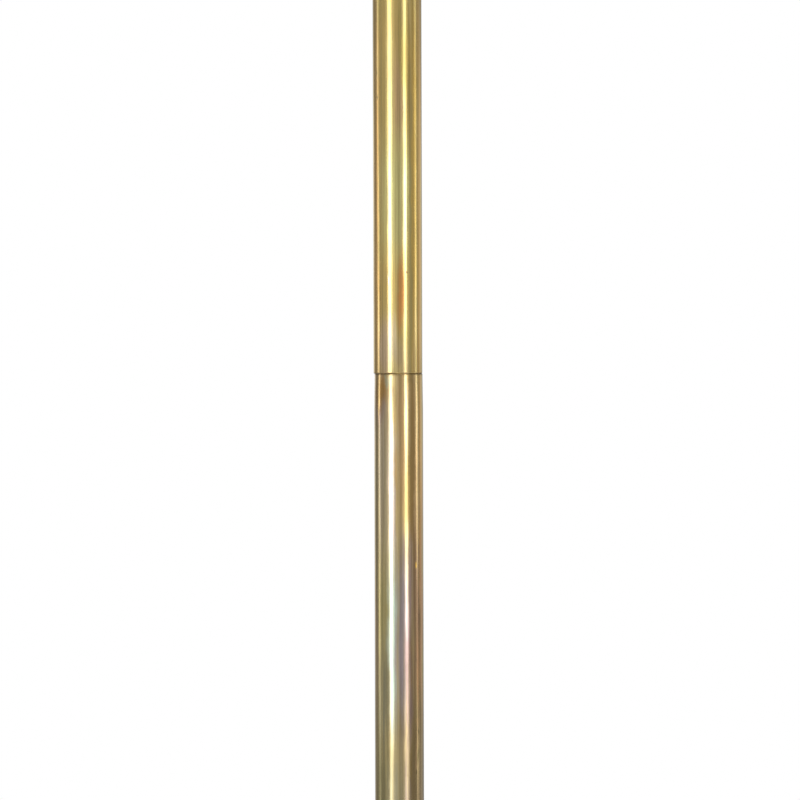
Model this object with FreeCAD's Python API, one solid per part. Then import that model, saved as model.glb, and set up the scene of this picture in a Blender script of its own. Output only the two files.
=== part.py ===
import FreeCAD, Part
import math
import os

from FreeCAD import Vector

# Brass pharmacy floor lamp: a weighted round base, a column of two screwed tubes, a sliding rod that a
# thumb screw locks, a swinging arm, and a pressed brass trough shade that tilts and rolls at the arm's end.
# Frame: +Z up, origin on the floor under the column's axis, arm and shade along +X. Sizes in millimetres.

# ---- driving sizes ------------------------------------------------------------------------------------

# clearances and small edges
SLIP = 0.1                     # radial gap of a piece slipped over or into another
RUNNING = 0.06                 # radial gap of a turning or sliding fit
END_PLAY = 0.08                # gap between faces that turn on each other
EDGE = 0.6                     # ordinary broken edge
FINE_EDGE = 0.3                # broken edge of a tube's end or a small pin

# base
BASE_RADIUS = 127.0            # ten-inch base
BASE_WALL = 1.0                # spun cover
BASE_RIM_TOP = 20.0            # height of the cover's outer ledge
BASE_RIM_ROUND = 5.0
BASE_LEDGE = 16.0              # width of the ledge, from the rim to the raised dome
BASE_STEP = 2.6                # upstand between the ledge and the dome
BASE_DOME_RISE = 9.0
PAD_THICKNESS = 2.5
PAD_INSET = 1.6
PAD_EDGE = 0.4
WEIGHT_INSET = 6.0             # from the cover's rim to the iron
WEIGHT_TOP = 17.0
WEIGHT_FOOT_EDGE = 2.0
WEIGHT_SHOULDER = 5.0          # fall of the iron's sloped shoulder
WEIGHT_BOSS_SLOPE = 7.0        # run of the slope up to the boss under the column
NUT_RECESS_ROOF = 20.0         # above the floor
NUT_RECESS_MARGIN = 5.0        # room for a spanner round the washer

# threaded lamp pipe that ties the column, cover and weight together
NIPPLE_RADIUS = 4.9
NIPPLE_BORE = 3.5
NIPPLE_PROUD = 1.0             # below its nut
NUT_FLATS = 17.0
NUT_THICKNESS = 6.0
NUT_WASHER_RADIUS = 14.0
NUT_WASHER = 1.6

# cable gland
GLAND_BORE = 3.4               # passes a round flex of 6.5 mm
GLAND_BARREL = 4.6
GLAND_FLANGE = 5.8
GLAND_FLANGE_THICKNESS = 1.8
GLAND_TAIL = 5.0               # length behind the cover's wall
GLAND_HEIGHT = 9.4             # its axis above the floor
GLAND_LIP = 0.5

# column
COLUMN_RADIUS = 12.7           # one-inch tube
COLUMN_WALL = 1.2
COLUMN_LOWER_LENGTH = 430.0
COLUMN_UPPER_LENGTH = 400.0
COLUMN_END_ROUND = 0.5
COLUMN_NECK_DROP = 0.22        # the lower tube's end is dressed down where it meets the upper one
COLUMN_NECK_LENGTH = 22.0
FOOT_COLLAR_WIDTH = 12.3       # foot collar's flange, beyond the tube
FOOT_COLLAR_MARGIN = 2.0       # flat of the cover beyond the flange
FOOT_COLLAR_WALL = 3.0
FOOT_COLLAR_HEIGHT = 16.0
FOOT_FLANGE = 3.6
FOOT_FLANGE_EDGE = 1.0
FOOT_FLANGE_FLAT = 1.5         # flat on the flange before the cove
FOOT_BEAD = 1.8                # radius of the bead at the collar's top
FOOT_PLUG_LENGTH = 22.0
FOOT_THREAD_DEPTH = 18.0
COUPLER_SOCKET_LENGTH = 20.0
COUPLER_SPIGOT_LENGTH = 24.0
COUPLER_THREAD_LENGTH = 16.0
COUPLER_WALL = 1.1             # socket's wall at the thread
COUPLER_BORE = 7.0
COUPLER_LEAD = 0.8

# column head, guide bush and lock
HEAD_WALL = 2.8
HEAD_SKIRT = 24.0
HEAD_CAP = 9.0
HEAD_SHOULDER = 5.0
HEAD_MOUTH = 0.9               # gap round the rod at the head's mouth
BAND_START = 2.4               # turned band near the skirt's foot
BAND_WIDTH = 2.8
BAND_DEPTH = 0.9
GUIDE_BUSH_LENGTH = 30.0
GUIDE_FLANGE = 1.6
LOCK_DROP = 12.0               # lock screw's axis below the top of the tube
LOCK_RADIUS = 3.0
LOCK_PITCH = 1.0
LOCK_TURNS = 2.0
LOCK_BOSS_RADIUS = 7.0
LOCK_BOSS_REACH = 5.0
LOCK_SHOE_PROUD = 0.55         # shoe's back, beyond the bore of the tube
LOCK_SHOE_GAP = 0.1
LOCK_KNOB_RADIUS = 11.0
LOCK_KNOB_THICKNESS = 9.0
LOCK_KNOB_COLLAR = 6.0
LOCK_KNOB_FLUTES = 44
LOCK_KNOB_GAP = 1.5            # from the boss to the knob
KNOB_FACE = 2.0                # metal left over a knob's bore
KNOB_FLUTE_DEPTH = 0.55

# rod
ROD_RADIUS = 7.95              # five-eighths tube
ROD_WALL = 1.0
ROD_MIN_SHOWING = 24.0         # rod above the column head when it is pushed right down
ROD_REST_SHARE = 0.4           # how far up its travel the rod stands at rest
FOOT_BUSH_LENGTH = 14.0
CLIP_THICKNESS = 1.0           # snap rings that hold the foot bush on the rod
CLIP_DEPTH = 0.4
CLIP_WIDTH = 1.4
CLIP_EDGE = 2.0                # rod below the lower clip
STOP_GAP = 3.0                 # left between the rod's foot and what would stop it, at each end

# swivel
HUB_RADIUS = 16.0              # ball at the arm's root
HUB_HALF_HEIGHT = 12.5
SPINDLE_RADIUS = 4.0
SPINDLE_BORE = 2.4
SPINDLE_PLUG = 20.0
SPINDLE_SHOULDER = 5.0
SPINDLE_THREAD = 6.0           # length inside the cap nut
CORD_WINDOW = 4.2              # half height of the spindle's side window
WASHER = 1.0
SPRING_WASHER = 0.8
SPRING_INSET = 1.6
CAP_BALL = 7.2                 # finial's ball, its neck and the collar under them
CAP_NECK = 6.0
CAP_COLLAR_INSET = 0.8
CAP_COLLAR = 1.8
CAP_COVE = 2.8
CAP_BORE_END = 0.4
STOP_PIN_RADIUS = 1.1
STOP_PIN_CIRCLE = 7.0
STOP_PIN_DEPTH = 3.5
STOP_PIN_END_GAP = 0.6
STOP_GROOVE_DEPTH = 3.6
STOP_GROOVE_GAP = 0.3
STOP_SLACK = 1.0               # degrees left at each end of the swing
ARM_SWING = 165.0              # degrees each way

# arm and fork
ARM_RADIUS = 6.35              # half-inch tube
ARM_WALL = 1.0
ARM_START = 8.0                # where the tube bottoms in the hub, from the column's axis
ARM_END = 196.0
FORK_PLUG = 16.0
FORK_PLUG_LEAD = 0.5
FORK_COLLAR_STEP = 1.85        # collar beyond the arm tube
FORK_COLLAR = 4.0
FORK_REACH = 12.0              # collar to pivot
EAR_RADIUS = 7.0
EAR_THICKNESS = 3.4

# tongue and its clamp
TONGUE_THICKNESS = 6.2
TONGUE_WASHER = 0.5
TONGUE_WASHER_INSET = 0.4
TONGUE_REACH = 12.0            # pivot to the tongue's flange
TONGUE_NECK = 5.0              # half height
TONGUE_FLANGE_RADIUS = 9.0
TONGUE_FLANGE = 3.0
PIVOT_RADIUS = 2.5
PIVOT_PITCH = 0.8
PIVOT_TURNS = 0.5
CLAMP_WASHER = 1.2
CLAMP_KNOB_RADIUS = 8.5
CLAMP_KNOB_THICKNESS = 8.0
CLAMP_KNOB_COLLAR = 5.0
CLAMP_KNOB_FLUTES = 36
CLAMP_NUT_INSET = 0.6
CLAMP_NUT_THICKNESS = 5.5
CLAMP_NUT_SIDE = 2.5
CLAMP_NUT_CROWN = 1.2
CLAMP_THREAD_END = 0.3         # screw's end to the nut's blind end
TILT_UP = 60.0                 # degrees
TILT_DOWN = 90.0

# roll spindle
ROLL_RADIUS = 4.9
ROLL_BORE = 3.0
ROLL_NUT = 5.0
ROLL_NUT_FLATS = 14.0
ROLL_PROUD = 1.0
ROLL_LIMIT = 90.0

# socket cup, lampholder and switch
CUP_RADIUS = 19.5
CUP_WALL = 1.0
CUP_ROUND = 6.0
CUP_BEAD = 2.4
CUP_BEHIND_SHADE = 50.0        # cup's length outside the shade
CUP_IN_SHADE = 13.0
SOCKET_SETBACK = 17.0          # from the cup's back wall to the lampholder
SOCKET_FLOOR = 11.0
SOCKET_LENGTH = 43.0
SOCKET_BACK_EDGE = 1.5
SHELL_RADIUS = 14.2            # lampholder's screw shell
SHELL_WALL = 0.5
SHELL_LENGTH = 24.0
SHELL_HOLE = 8.0
CONTACT_STEM = 4.0
CONTACT_STEM_LENGTH = 6.0
CONTACT_RADIUS = 6.5
CONTACT_RISE = 1.6
SWITCH_SHAFT_RADIUS = 2.0
SWITCH_BUSH_RADIUS = 3.6
SWITCH_ROOT = 9.0              # inner end of the switch bush, from the cup's axis
SWITCH_NUT_RADIUS = 6.0
SWITCH_NUT_THICKNESS = 2.4
SWITCH_NUT_FLUTES = 30
SWITCH_NUT_FLUTE_DEPTH = 0.3
SWITCH_BUSH_PROUD = 0.8
SWITCH_KNOB_GAP = 0.6
SWITCH_KNOB_RADIUS = 6.5
SWITCH_KNOB_THICKNESS = 9.0
SWITCH_KNOB_COLLAR = 4.2
SWITCH_KNOB_FLUTES = 30

# shade and its ring
SHADE_LENGTH = 200.0
SHADE_HALF_WIDTH = 64.0
SHADE_SKIRT = 12.0             # straight part of the side under the half round
SHADE_WALL = 0.9
SHADE_CORNER = 18.0
SHADE_BEAD = 1.7
RING_THICKNESS = 5.0
RING_WALL = 4.0
RING_TO_RIM = 10.0             # from the ring down to the shade's rim
RING_TO_CORNER = 1.0           # from the ring up to the shade's rounded rear edge
RING_NOTCH_DEPTH = 1.6
RING_NOTCH_WIDTH = 3.0
VENT_RADIUS = 2.2
VENT_COUNT = 6
VENT_PITCH = 10.0
VENT_ROW_OFFSET = 11.0

# bulb
BULB_CAP_LENGTH = 25.0
BULB_CAP_WALL = 1.2
BULB_CAP_TIP = 5.0
BULB_CAP_NOSE = 6.0            # length of the cap's insulated nose
BULB_RADIUS = 16.0
BULB_LENGTH = 112.0            # glass beyond the cap
BULB_WALL = 0.8
GLASS_TUCK = 8.0               # glass inside the cap
GLASS_FLARE = 12.0
STEM_LENGTH = 30.0
STEM_RADIUS = 3.0
STEM_FLARE = 7.0
STEM_BEAD = 4.2
FILAMENT_RADIUS = 0.8
FILAMENT_SPAN = 60.0
FILAMENT_RISE = 6.0
FILAMENT_OFFSET = 4.0
WIRE_RADIUS = 0.35

# ---- derived heights and places -----------------------------------------------------------------------

FOOT_RADIUS = COLUMN_RADIUS + FOOT_COLLAR_WIDTH
SEAT_RADIUS = FOOT_RADIUS + FOOT_COLLAR_MARGIN
LEDGE_RADIUS = BASE_RADIUS - BASE_LEDGE
DOME_EDGE = BASE_RIM_TOP + BASE_STEP
DOME_RADIUS = (LEDGE_RADIUS ** 2 + BASE_DOME_RISE ** 2) / (2 * BASE_DOME_RISE)
DOME_CENTRE = DOME_EDGE + BASE_DOME_RISE - DOME_RADIUS


def dome_height(radius, inset=0.0):
    """Height of the base's dome at this radius, for a skin set in by inset."""
    return DOME_CENTRE + math.sqrt((DOME_RADIUS - inset) ** 2 - radius ** 2)


SEAT = dome_height(SEAT_RADIUS)
COLUMN_BORE = COLUMN_RADIUS - COLUMN_WALL
JOINT = SEAT + COLUMN_LOWER_LENGTH
COLUMN_TOP = JOINT + COLUMN_UPPER_LENGTH
COUPLER_THREAD = COLUMN_BORE - COUPLER_WALL
NUT_TOP = NUT_RECESS_ROOF - NUT_WASHER
NUT_BOTTOM = NUT_TOP - NUT_THICKNESS

HEAD_BORE = COLUMN_RADIUS + SLIP
HEAD_RADIUS = HEAD_BORE + HEAD_WALL
HEAD_FOOT = COLUMN_TOP - HEAD_SKIRT
HEAD_TOP = COLUMN_TOP + GUIDE_FLANGE + HEAD_CAP
LOCK_HEIGHT = COLUMN_TOP - LOCK_DROP
SHOE_FACE = ROD_RADIUS + LOCK_SHOE_GAP
SHOE_BACK = COLUMN_BORE + LOCK_SHOE_PROUD
LOCK_BOSS_END = HEAD_RADIUS + LOCK_BOSS_REACH
LOCK_KNOB_START = LOCK_BOSS_END + LOCK_KNOB_GAP

ROD_BORE = ROD_RADIUS - ROD_WALL
ROD_FOOT_GEAR = CLIP_EDGE + 2 * CLIP_THICKNESS + 2 * END_PLAY + FOOT_BUSH_LENGTH
ROD_LOWEST = JOINT + COUPLER_SOCKET_LENGTH + STOP_GAP
ROD_HIGHEST = COLUMN_TOP - GUIDE_BUSH_LENGTH - STOP_GAP - ROD_FOOT_GEAR
ROD_DOWN = (ROD_HIGHEST - ROD_LOWEST) * ROD_REST_SHARE
ROD_UP = ROD_HIGHEST - ROD_LOWEST - ROD_DOWN
ROD_FOOT = ROD_LOWEST + ROD_DOWN
ROD_TOP = HEAD_TOP + ROD_MIN_SHOWING + ROD_DOWN
FOOT_BUSH_BOTTOM = ROD_FOOT + CLIP_EDGE + CLIP_THICKNESS + END_PLAY
FOOT_BUSH_TOP = FOOT_BUSH_BOTTOM + FOOT_BUSH_LENGTH
CLIP_HEIGHTS = (ROD_FOOT + CLIP_EDGE, FOOT_BUSH_TOP + END_PLAY)

HUB_FLAT = math.sqrt(HUB_RADIUS ** 2 - HUB_HALF_HEIGHT ** 2)
SHOULDER_TOP = ROD_TOP + SPINDLE_SHOULDER
HUB_BOTTOM = SHOULDER_TOP + WASHER + END_PLAY
ARM_HEIGHT = HUB_BOTTOM + HUB_HALF_HEIGHT
HUB_TOP = ARM_HEIGHT + HUB_HALF_HEIGHT
SPRING_BOTTOM = HUB_TOP + END_PLAY + WASHER
CAP_BOTTOM = SPRING_BOTTOM + SPRING_WASHER
SPINDLE_TOP = CAP_BOTTOM + SPINDLE_THREAD

ARM_BORE = ARM_RADIUS - ARM_WALL
FORK_COLLAR_RADIUS = ARM_RADIUS + FORK_COLLAR_STEP
FORK_START = ARM_END - FORK_PLUG
FORK_FACE = ARM_END + FORK_COLLAR
PIVOT_X = FORK_FACE + FORK_REACH
TONGUE_SIDE = TONGUE_THICKNESS / 2
EAR_INNER = TONGUE_SIDE + TONGUE_WASHER + END_PLAY
EAR_OUTER = EAR_INNER + EAR_THICKNESS
CLAMP_WASHER_START = EAR_OUTER + END_PLAY
CLAMP_KNOB_START = CLAMP_WASHER_START + CLAMP_WASHER
CLAMP_NUT_BORE_END = EAR_OUTER + CLAMP_NUT_THICKNESS - CLAMP_NUT_CROWN

FLANGE_X = PIVOT_X + TONGUE_REACH
CUP_X = FLANGE_X + TONGUE_FLANGE + WASHER + END_PLAY
ROLL_WASHER_X = CUP_X + CUP_WALL + END_PLAY
ROLL_NUT_X = ROLL_WASHER_X + WASHER
ROLL_END = ROLL_NUT_X + ROLL_NUT + ROLL_PROUD
CUP_LENGTH = CUP_BEHIND_SHADE + CUP_IN_SHADE
SHADE_X = CUP_X + CUP_BEHIND_SHADE
SHADE_END = SHADE_X + SHADE_LENGTH
RING_RADIUS = CUP_RADIUS + RING_WALL
AXIS_ABOVE_RIM = RING_TO_RIM + RING_RADIUS
ROOM_FOR_CORNER = SHADE_SKIRT + SHADE_HALF_WIDTH - AXIS_ABOVE_RIM - RING_RADIUS - RING_TO_CORNER
SHADE_ROUND = min(SHADE_CORNER, ROOM_FOR_CORNER)
RIM = ARM_HEIGHT - AXIS_ABOVE_RIM
SOCKET_RADIUS = CUP_RADIUS - CUP_WALL
SOCKET_X = CUP_X + SOCKET_SETBACK
SOCKET_BORE_X = SOCKET_X + SOCKET_FLOOR
SWITCH_X = SOCKET_X + SOCKET_FLOOR / 2
SWITCH_NUT_TOP = CUP_RADIUS + SWITCH_NUT_THICKNESS
SWITCH_BUSH_END = SWITCH_NUT_TOP + SWITCH_BUSH_PROUD
SWITCH_KNOB_START = SWITCH_BUSH_END + SWITCH_KNOB_GAP
BULB_CAP_RADIUS = SHELL_RADIUS - SHELL_WALL - SLIP
GLASS_NECK = BULB_CAP_RADIUS - BULB_CAP_WALL
BULB_CAP_X = SOCKET_BORE_X + CONTACT_RISE
BULB_X = BULB_CAP_X + BULB_CAP_LENGTH
BULB_END = BULB_X + BULB_LENGTH

X_AXIS = Vector(1, 0, 0)
Y_AXIS = Vector(0, 1, 0)
Z_AXIS = Vector(0, 0, 1)
ORIGIN = Vector(0, 0, 0)
HALF_RIGHT = math.sqrt(0.5)    # sine and cosine of 45 degrees


# ---- helpers ------------------------------------------------------------------------------------------

def turned(*steps):
    """A solid turned about Z from (radius, height) steps; a step of two points is an arc via the first."""
    def at(point):
        return Vector(point[0], 0, point[1])

    edges = []
    here = steps[0]
    for step in list(steps[1:]) + [steps[0]]:
        if isinstance(step[0], tuple):
            through, there = step
            edges.append(Part.Arc(at(here), at(through), at(there)).toShape())
        else:
            there = step
            edges.append(Part.LineSegment(at(here), at(there)).toShape())
        here = there
    face = Part.Face(Part.Wire(edges))
    return face.revolve(ORIGIN, Z_AXIS, 360)


def arc_step(centre, radius, start_deg, end_deg):
    """The (through, end) pair of an arc about centre, both angles measured from outward towards up."""
    def on(angle):
        turn = math.radians(angle)
        return (centre[0] + radius * math.cos(turn), centre[1] + radius * math.sin(turn))

    return (on((start_deg + end_deg) / 2), on(end_deg))


def dome_step(radius, edge_height, axis_height):
    """The (through, end) pair of a spherical dome or dish, from a circle of this radius in to the axis."""
    rise = axis_height - edge_height
    sphere = (radius ** 2 + rise ** 2) / (2 * rise)
    half_angle = math.asin(radius / abs(sphere)) / 2
    centre = axis_height - sphere
    return ((abs(sphere) * math.sin(half_angle), centre + sphere * math.cos(half_angle)), (0, axis_height))


def ring(outer, bore, bottom, top, edge=0.0):
    """A plain turned ring with its two outer corners broken by edge."""
    if edge == 0.0:
        return turned((bore, bottom), (outer, bottom), (outer, top), (bore, top))
    return turned(
        (bore, bottom), (outer - edge, bottom), (outer, bottom + edge), (outer, top - edge),
        (outer - edge, top), (bore, top))


def pin(radius, bottom, top, edge):
    """A plain turned pin with its two ends broken by edge."""
    return turned(
        (0, bottom), (radius - edge, bottom), (radius, bottom + edge), (radius, top - edge),
        (radius - edge, top), (0, top))


def drill(radius, bottom, top, x=0.0):
    """A plain upright cylinder, to cut with."""
    return Part.makeCylinder(radius, top - bottom, Vector(x, 0, bottom))


def prism(points, bottom, top):
    """A straight prism over a closed polygon of (x, y) points."""
    corners = [Vector(x, y, bottom) for x, y in points]
    face = Part.Face(Part.makePolygon(corners + corners[:1]))
    return face.extrude(Vector(0, 0, top - bottom))


def hex_nut(across_flats, bore, bottom, top):
    """A hexagon nut with its top corners chamfered by a cone."""
    corner = across_flats / math.sqrt(3)
    angles = [math.radians(60 * i) for i in range(6)]
    body = prism([(corner * math.cos(a), corner * math.sin(a)) for a in angles], bottom, top)
    fall = (corner - across_flats / 2) / 2
    cone = turned((0, bottom), (corner, bottom), (corner, top - fall), (across_flats / 2, top), (0, top))
    return body.common(cone).cut(drill(bore, bottom, top))


def fluted(radius, depth, flutes, bottom, top):
    """A prism whose rim is cut into straight V flutes."""
    points = []
    for i in range(2 * flutes):
        angle = math.pi * i / flutes
        reach = radius - depth * (i % 2)
        points.append((reach * math.cos(angle), reach * math.sin(angle)))
    return prism(points, bottom, top)


def knurled_knob(radius, thickness, collar, bore, flutes):
    """A turned knob along +Z from its collar: a plain neck, a fluted rim and a shallow dished face."""
    neck = thickness / 4
    round_edge = 1.0
    dish_edge = radius - 2.5 * round_edge
    dish = 0.9
    blank = turned(
        (0, 0), (collar, 0), (collar, neck), (radius - round_edge, neck), (radius, neck + round_edge),
        (radius, thickness - round_edge), (radius - round_edge, thickness), (dish_edge, thickness),
        dome_step(dish_edge, thickness, thickness - dish))
    rim = fluted(radius, KNOB_FLUTE_DEPTH, flutes, neck, thickness)
    knob = blank.common(rim.fuse(drill(collar, 0, neck)))
    return knob.cut(drill(bore, 0, thickness - KNOB_FACE))


def along_x(shape, x, z=None):
    """Turns a piece made along +Z to lie along +X, starting at x, on the arm's axis unless z is given."""
    moved = shape.copy()
    moved.rotate(ORIGIN, Y_AXIS, 90)
    moved.translate(Vector(x, 0, ARM_HEIGHT if z is None else z))
    return moved


def along_y(shape, x, y, z):
    """Turns a piece made along +Z to lie along +Y."""
    moved = shape.copy()
    moved.rotate(ORIGIN, X_AXIS, -90)
    moved.translate(Vector(x, y, z))
    return moved


def along_minus_x(shape, x, z):
    """Turns a piece made along +Z to lie along -X."""
    moved = shape.copy()
    moved.rotate(ORIGIN, Y_AXIS, -90)
    moved.translate(Vector(x, 0, z))
    return moved


def along_minus_y(shape, x, y=0.0):
    """Turns a piece made along +Z to lie along -Y at the arm's height."""
    moved = shape.copy()
    moved.rotate(ORIGIN, X_AXIS, 90)
    moved.translate(Vector(x, y, ARM_HEIGHT))
    return moved


def box_between(low, high):
    """A box from its lowest corner to its highest."""
    size = [b - a for a, b in zip(low, high)]
    return Part.makeBox(size[0], size[1], size[2], Vector(*low))


def save(name, *solids):
    """Writes one node: a single solid, or a group of separate ones."""
    shape = solids[0] if len(solids) == 1 else Part.makeCompound(list(solids))
    shape.exportStep(os.path.join("parts", name + ".step"))
    NODES[name] = shape


NODES = {}
os.makedirs("parts", exist_ok=True)


# ---- base: felt, iron weight, spun cover, cable gland, lamp pipe ---------------------------------------

def cover_outline(inset, bottom):
    """Outline steps of the cover's outer face set in by inset, from the rim's foot to the axis."""
    rim_centre = (BASE_RADIUS - BASE_RIM_ROUND, BASE_RIM_TOP - BASE_RIM_ROUND)
    wall = BASE_RADIUS - inset
    step = LEDGE_RADIUS - inset
    seat = dome_height(SEAT_RADIUS, inset)
    middle = (step + SEAT_RADIUS) / 2
    return [
        (wall, bottom),
        (wall, rim_centre[1]),
        arc_step(rim_centre, BASE_RIM_ROUND - inset, 0, 90),
        (step, BASE_RIM_TOP - inset),
        (step, dome_height(step, inset)),
        ((middle, dome_height(middle, inset)), (SEAT_RADIUS, seat)),
        (0, seat),
        (0, bottom),
    ]


def base_cover():
    outer = turned(*cover_outline(0.0, PAD_THICKNESS))
    inner = turned(*cover_outline(BASE_WALL, 0.0))
    cover = outer.cut(inner).cut(drill(NIPPLE_RADIUS + SLIP, 0, SEAT))
    gland_hole = Part.makeCylinder(GLAND_BARREL + SLIP, 2 * BASE_WALL)
    return cover.cut(along_y(gland_hole, 0, BASE_RADIUS - 1.5 * BASE_WALL, GLAND_HEIGHT))


def base_weight():
    """The casting, with a recess for the pipe's nut and a channel from the gland to it."""
    bore = NIPPLE_RADIUS + SLIP
    foot = BASE_RADIUS - WEIGHT_INSET
    shoulder = LEDGE_RADIUS - 2 * BASE_WALL
    boss_top = dome_height(SEAT_RADIUS, BASE_WALL)
    weight = turned(
        (bore, PAD_THICKNESS), (foot - WEIGHT_FOOT_EDGE, PAD_THICKNESS),
        (foot, PAD_THICKNESS + WEIGHT_FOOT_EDGE), (foot, WEIGHT_TOP - WEIGHT_SHOULDER),
        (shoulder, WEIGHT_TOP), (SEAT_RADIUS + WEIGHT_BOSS_SLOPE, WEIGHT_TOP),
        (SEAT_RADIUS, boss_top), (bore, boss_top))
    recess = drill(NUT_WASHER_RADIUS + NUT_RECESS_MARGIN, 0, NUT_RECESS_ROOF)
    channel = box_between((-GLAND_BARREL, 0, 0), (GLAND_BARREL, BASE_RADIUS, GLAND_HEIGHT + GLAND_BARREL))
    return weight.cut(recess).cut(channel)


def base_pad():
    radius = BASE_RADIUS - PAD_INSET
    return turned((0, 0), (radius - PAD_EDGE, 0), (radius, PAD_EDGE), (radius, PAD_THICKNESS),
                  (0, PAD_THICKNESS))


def cable_gland():
    """A barrel with a flange whose back follows the cover's round rim."""
    inner_end = BASE_RADIUS - BASE_WALL - GLAND_TAIL
    length = BASE_RADIUS + GLAND_FLANGE_THICKNESS - inner_end
    flange_start = length - GLAND_FLANGE_THICKNESS - 3 * BASE_WALL
    body = turned(
        (GLAND_BORE, 0), (GLAND_BARREL, 0), (GLAND_BARREL, flange_start), (GLAND_FLANGE, flange_start),
        (GLAND_FLANGE, length - GLAND_LIP), (GLAND_FLANGE - GLAND_LIP, length), (GLAND_BORE, length))
    body = along_y(body, 0, inner_end, GLAND_HEIGHT)
    barrel = along_y(Part.makeCylinder(GLAND_BARREL, BASE_RADIUS), 0, 0, GLAND_HEIGHT)
    return body.cut(drill(BASE_RADIUS, 0, BASE_RIM_TOP).cut(barrel))


def base_nipple():
    return ring(NIPPLE_RADIUS, NIPPLE_BORE, NUT_BOTTOM - NIPPLE_PROUD, SEAT + FOOT_THREAD_DEPTH, FINE_EDGE)


def base_nut():
    return hex_nut(NUT_FLATS, NIPPLE_RADIUS, NUT_BOTTOM, NUT_TOP)


def base_washer():
    return ring(NUT_WASHER_RADIUS, NIPPLE_RADIUS + SLIP, NUT_TOP, NUT_RECESS_ROOF)


save("base_pad", base_pad())
save("base_weight", base_weight())
save("base_cover", base_cover())
save("cable_gland", cable_gland())
save("base_nipple", base_nipple())
save("base_nut", base_nut())
save("base_washer", base_washer())


# ---- column: foot collar and plug, two tubes, screwed coupler ------------------------------------------

def foot_collar():
    """A flange on the cover, a quarter-round cove up to the neck, and a half-round bead at the top."""
    bore = COLUMN_RADIUS + SLIP
    neck = COLUMN_RADIUS + FOOT_COLLAR_WALL
    flange_top = SEAT + FOOT_FLANGE
    flat_edge = FOOT_RADIUS - FOOT_FLANGE_EDGE - FOOT_FLANGE_FLAT
    cove = flat_edge - neck
    top = SEAT + FOOT_COLLAR_HEIGHT
    return turned(
        (bore, SEAT), (FOOT_RADIUS, SEAT), (FOOT_RADIUS, flange_top - FOOT_FLANGE_EDGE),
        (FOOT_RADIUS - FOOT_FLANGE_EDGE, flange_top), (flat_edge, flange_top),
        ((flat_edge - cove * HALF_RIGHT, flange_top + cove * (1 - HALF_RIGHT)), (neck, flange_top + cove)),
        (neck, top - 2 * FOOT_BEAD), arc_step((neck, top - FOOT_BEAD), FOOT_BEAD, -90, 90),
        (bore + EDGE, top), (bore, top - EDGE))


def foot_plug():
    return ring(COLUMN_BORE, NIPPLE_RADIUS, SEAT, SEAT + FOOT_PLUG_LENGTH, EDGE)


def column_lower():
    neck = COLUMN_RADIUS - COLUMN_NECK_DROP
    round_centre = (neck - COLUMN_END_ROUND, JOINT - COLUMN_END_ROUND)
    return turned(
        (COLUMN_BORE, SEAT), (COLUMN_RADIUS - FINE_EDGE, SEAT), (COLUMN_RADIUS, SEAT + FINE_EDGE),
        (COLUMN_RADIUS, JOINT - COLUMN_NECK_LENGTH), (neck, round_centre[1]),
        arc_step(round_centre, COLUMN_END_ROUND, 0, 90), (COLUMN_BORE, JOINT))


def coupler_spigot():
    start = JOINT - COUPLER_SPIGOT_LENGTH
    end = JOINT + COUPLER_THREAD_LENGTH
    return turned(
        (COUPLER_BORE, start), (COLUMN_BORE, start), (COLUMN_BORE, JOINT), (COUPLER_THREAD, JOINT),
        (COUPLER_THREAD, end - COUPLER_LEAD), (COUPLER_THREAD - COUPLER_LEAD, end), (COUPLER_BORE, end))


def coupler_socket():
    return ring(COLUMN_BORE, COUPLER_THREAD + RUNNING, JOINT, JOINT + COUPLER_SOCKET_LENGTH)


def lock_way(radius, reach):
    """The round way that the lock screw takes, from the column's axis out along -X."""
    return along_minus_x(Part.makeCylinder(radius, reach), 0, LOCK_HEIGHT)


def column_upper():
    round_centre = (COLUMN_RADIUS - COLUMN_END_ROUND, JOINT + COLUMN_END_ROUND)
    tube = turned(
        (COLUMN_BORE, JOINT), (round_centre[0], JOINT), arc_step(round_centre, COLUMN_END_ROUND, -90, 0),
        (COLUMN_RADIUS, COLUMN_TOP - FINE_EDGE), (COLUMN_RADIUS - FINE_EDGE, COLUMN_TOP),
        (COLUMN_BORE, COLUMN_TOP))
    return tube.cut(lock_way(LOCK_RADIUS + SLIP, HEAD_RADIUS))


def column_head():
    """A turned cap over the tube's top, with a boss that the lock screw is threaded through."""
    mouth = ROD_RADIUS + HEAD_MOUTH
    cap_floor = COLUMN_TOP + GUIDE_FLANGE
    band_foot = HEAD_FOOT + BAND_START
    band_top = band_foot + BAND_WIDTH
    band_radius = HEAD_RADIUS - BAND_DEPTH
    shell = turned(
        (HEAD_BORE, HEAD_FOOT), (HEAD_RADIUS - EDGE, HEAD_FOOT), (HEAD_RADIUS, HEAD_FOOT + EDGE),
        (HEAD_RADIUS, band_foot), (band_radius, band_foot + BAND_DEPTH), (band_radius, band_top - BAND_DEPTH),
        (HEAD_RADIUS, band_top), (HEAD_RADIUS, HEAD_TOP - HEAD_SHOULDER),
        arc_step((HEAD_RADIUS - HEAD_SHOULDER, HEAD_TOP - HEAD_SHOULDER), HEAD_SHOULDER, 0, 90),
        (mouth, HEAD_TOP), (mouth, cap_floor), (HEAD_BORE, cap_floor))
    boss = along_minus_x(pin(LOCK_BOSS_RADIUS, 0, LOCK_BOSS_END, EDGE), 0, LOCK_HEIGHT)
    core = drill(HEAD_BORE, HEAD_FOOT, cap_floor)
    body = shell.fuse(boss.cut(core)).removeSplitter()
    return body.cut(lock_way(LOCK_RADIUS + RUNNING, 2 * HEAD_RADIUS))


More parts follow.
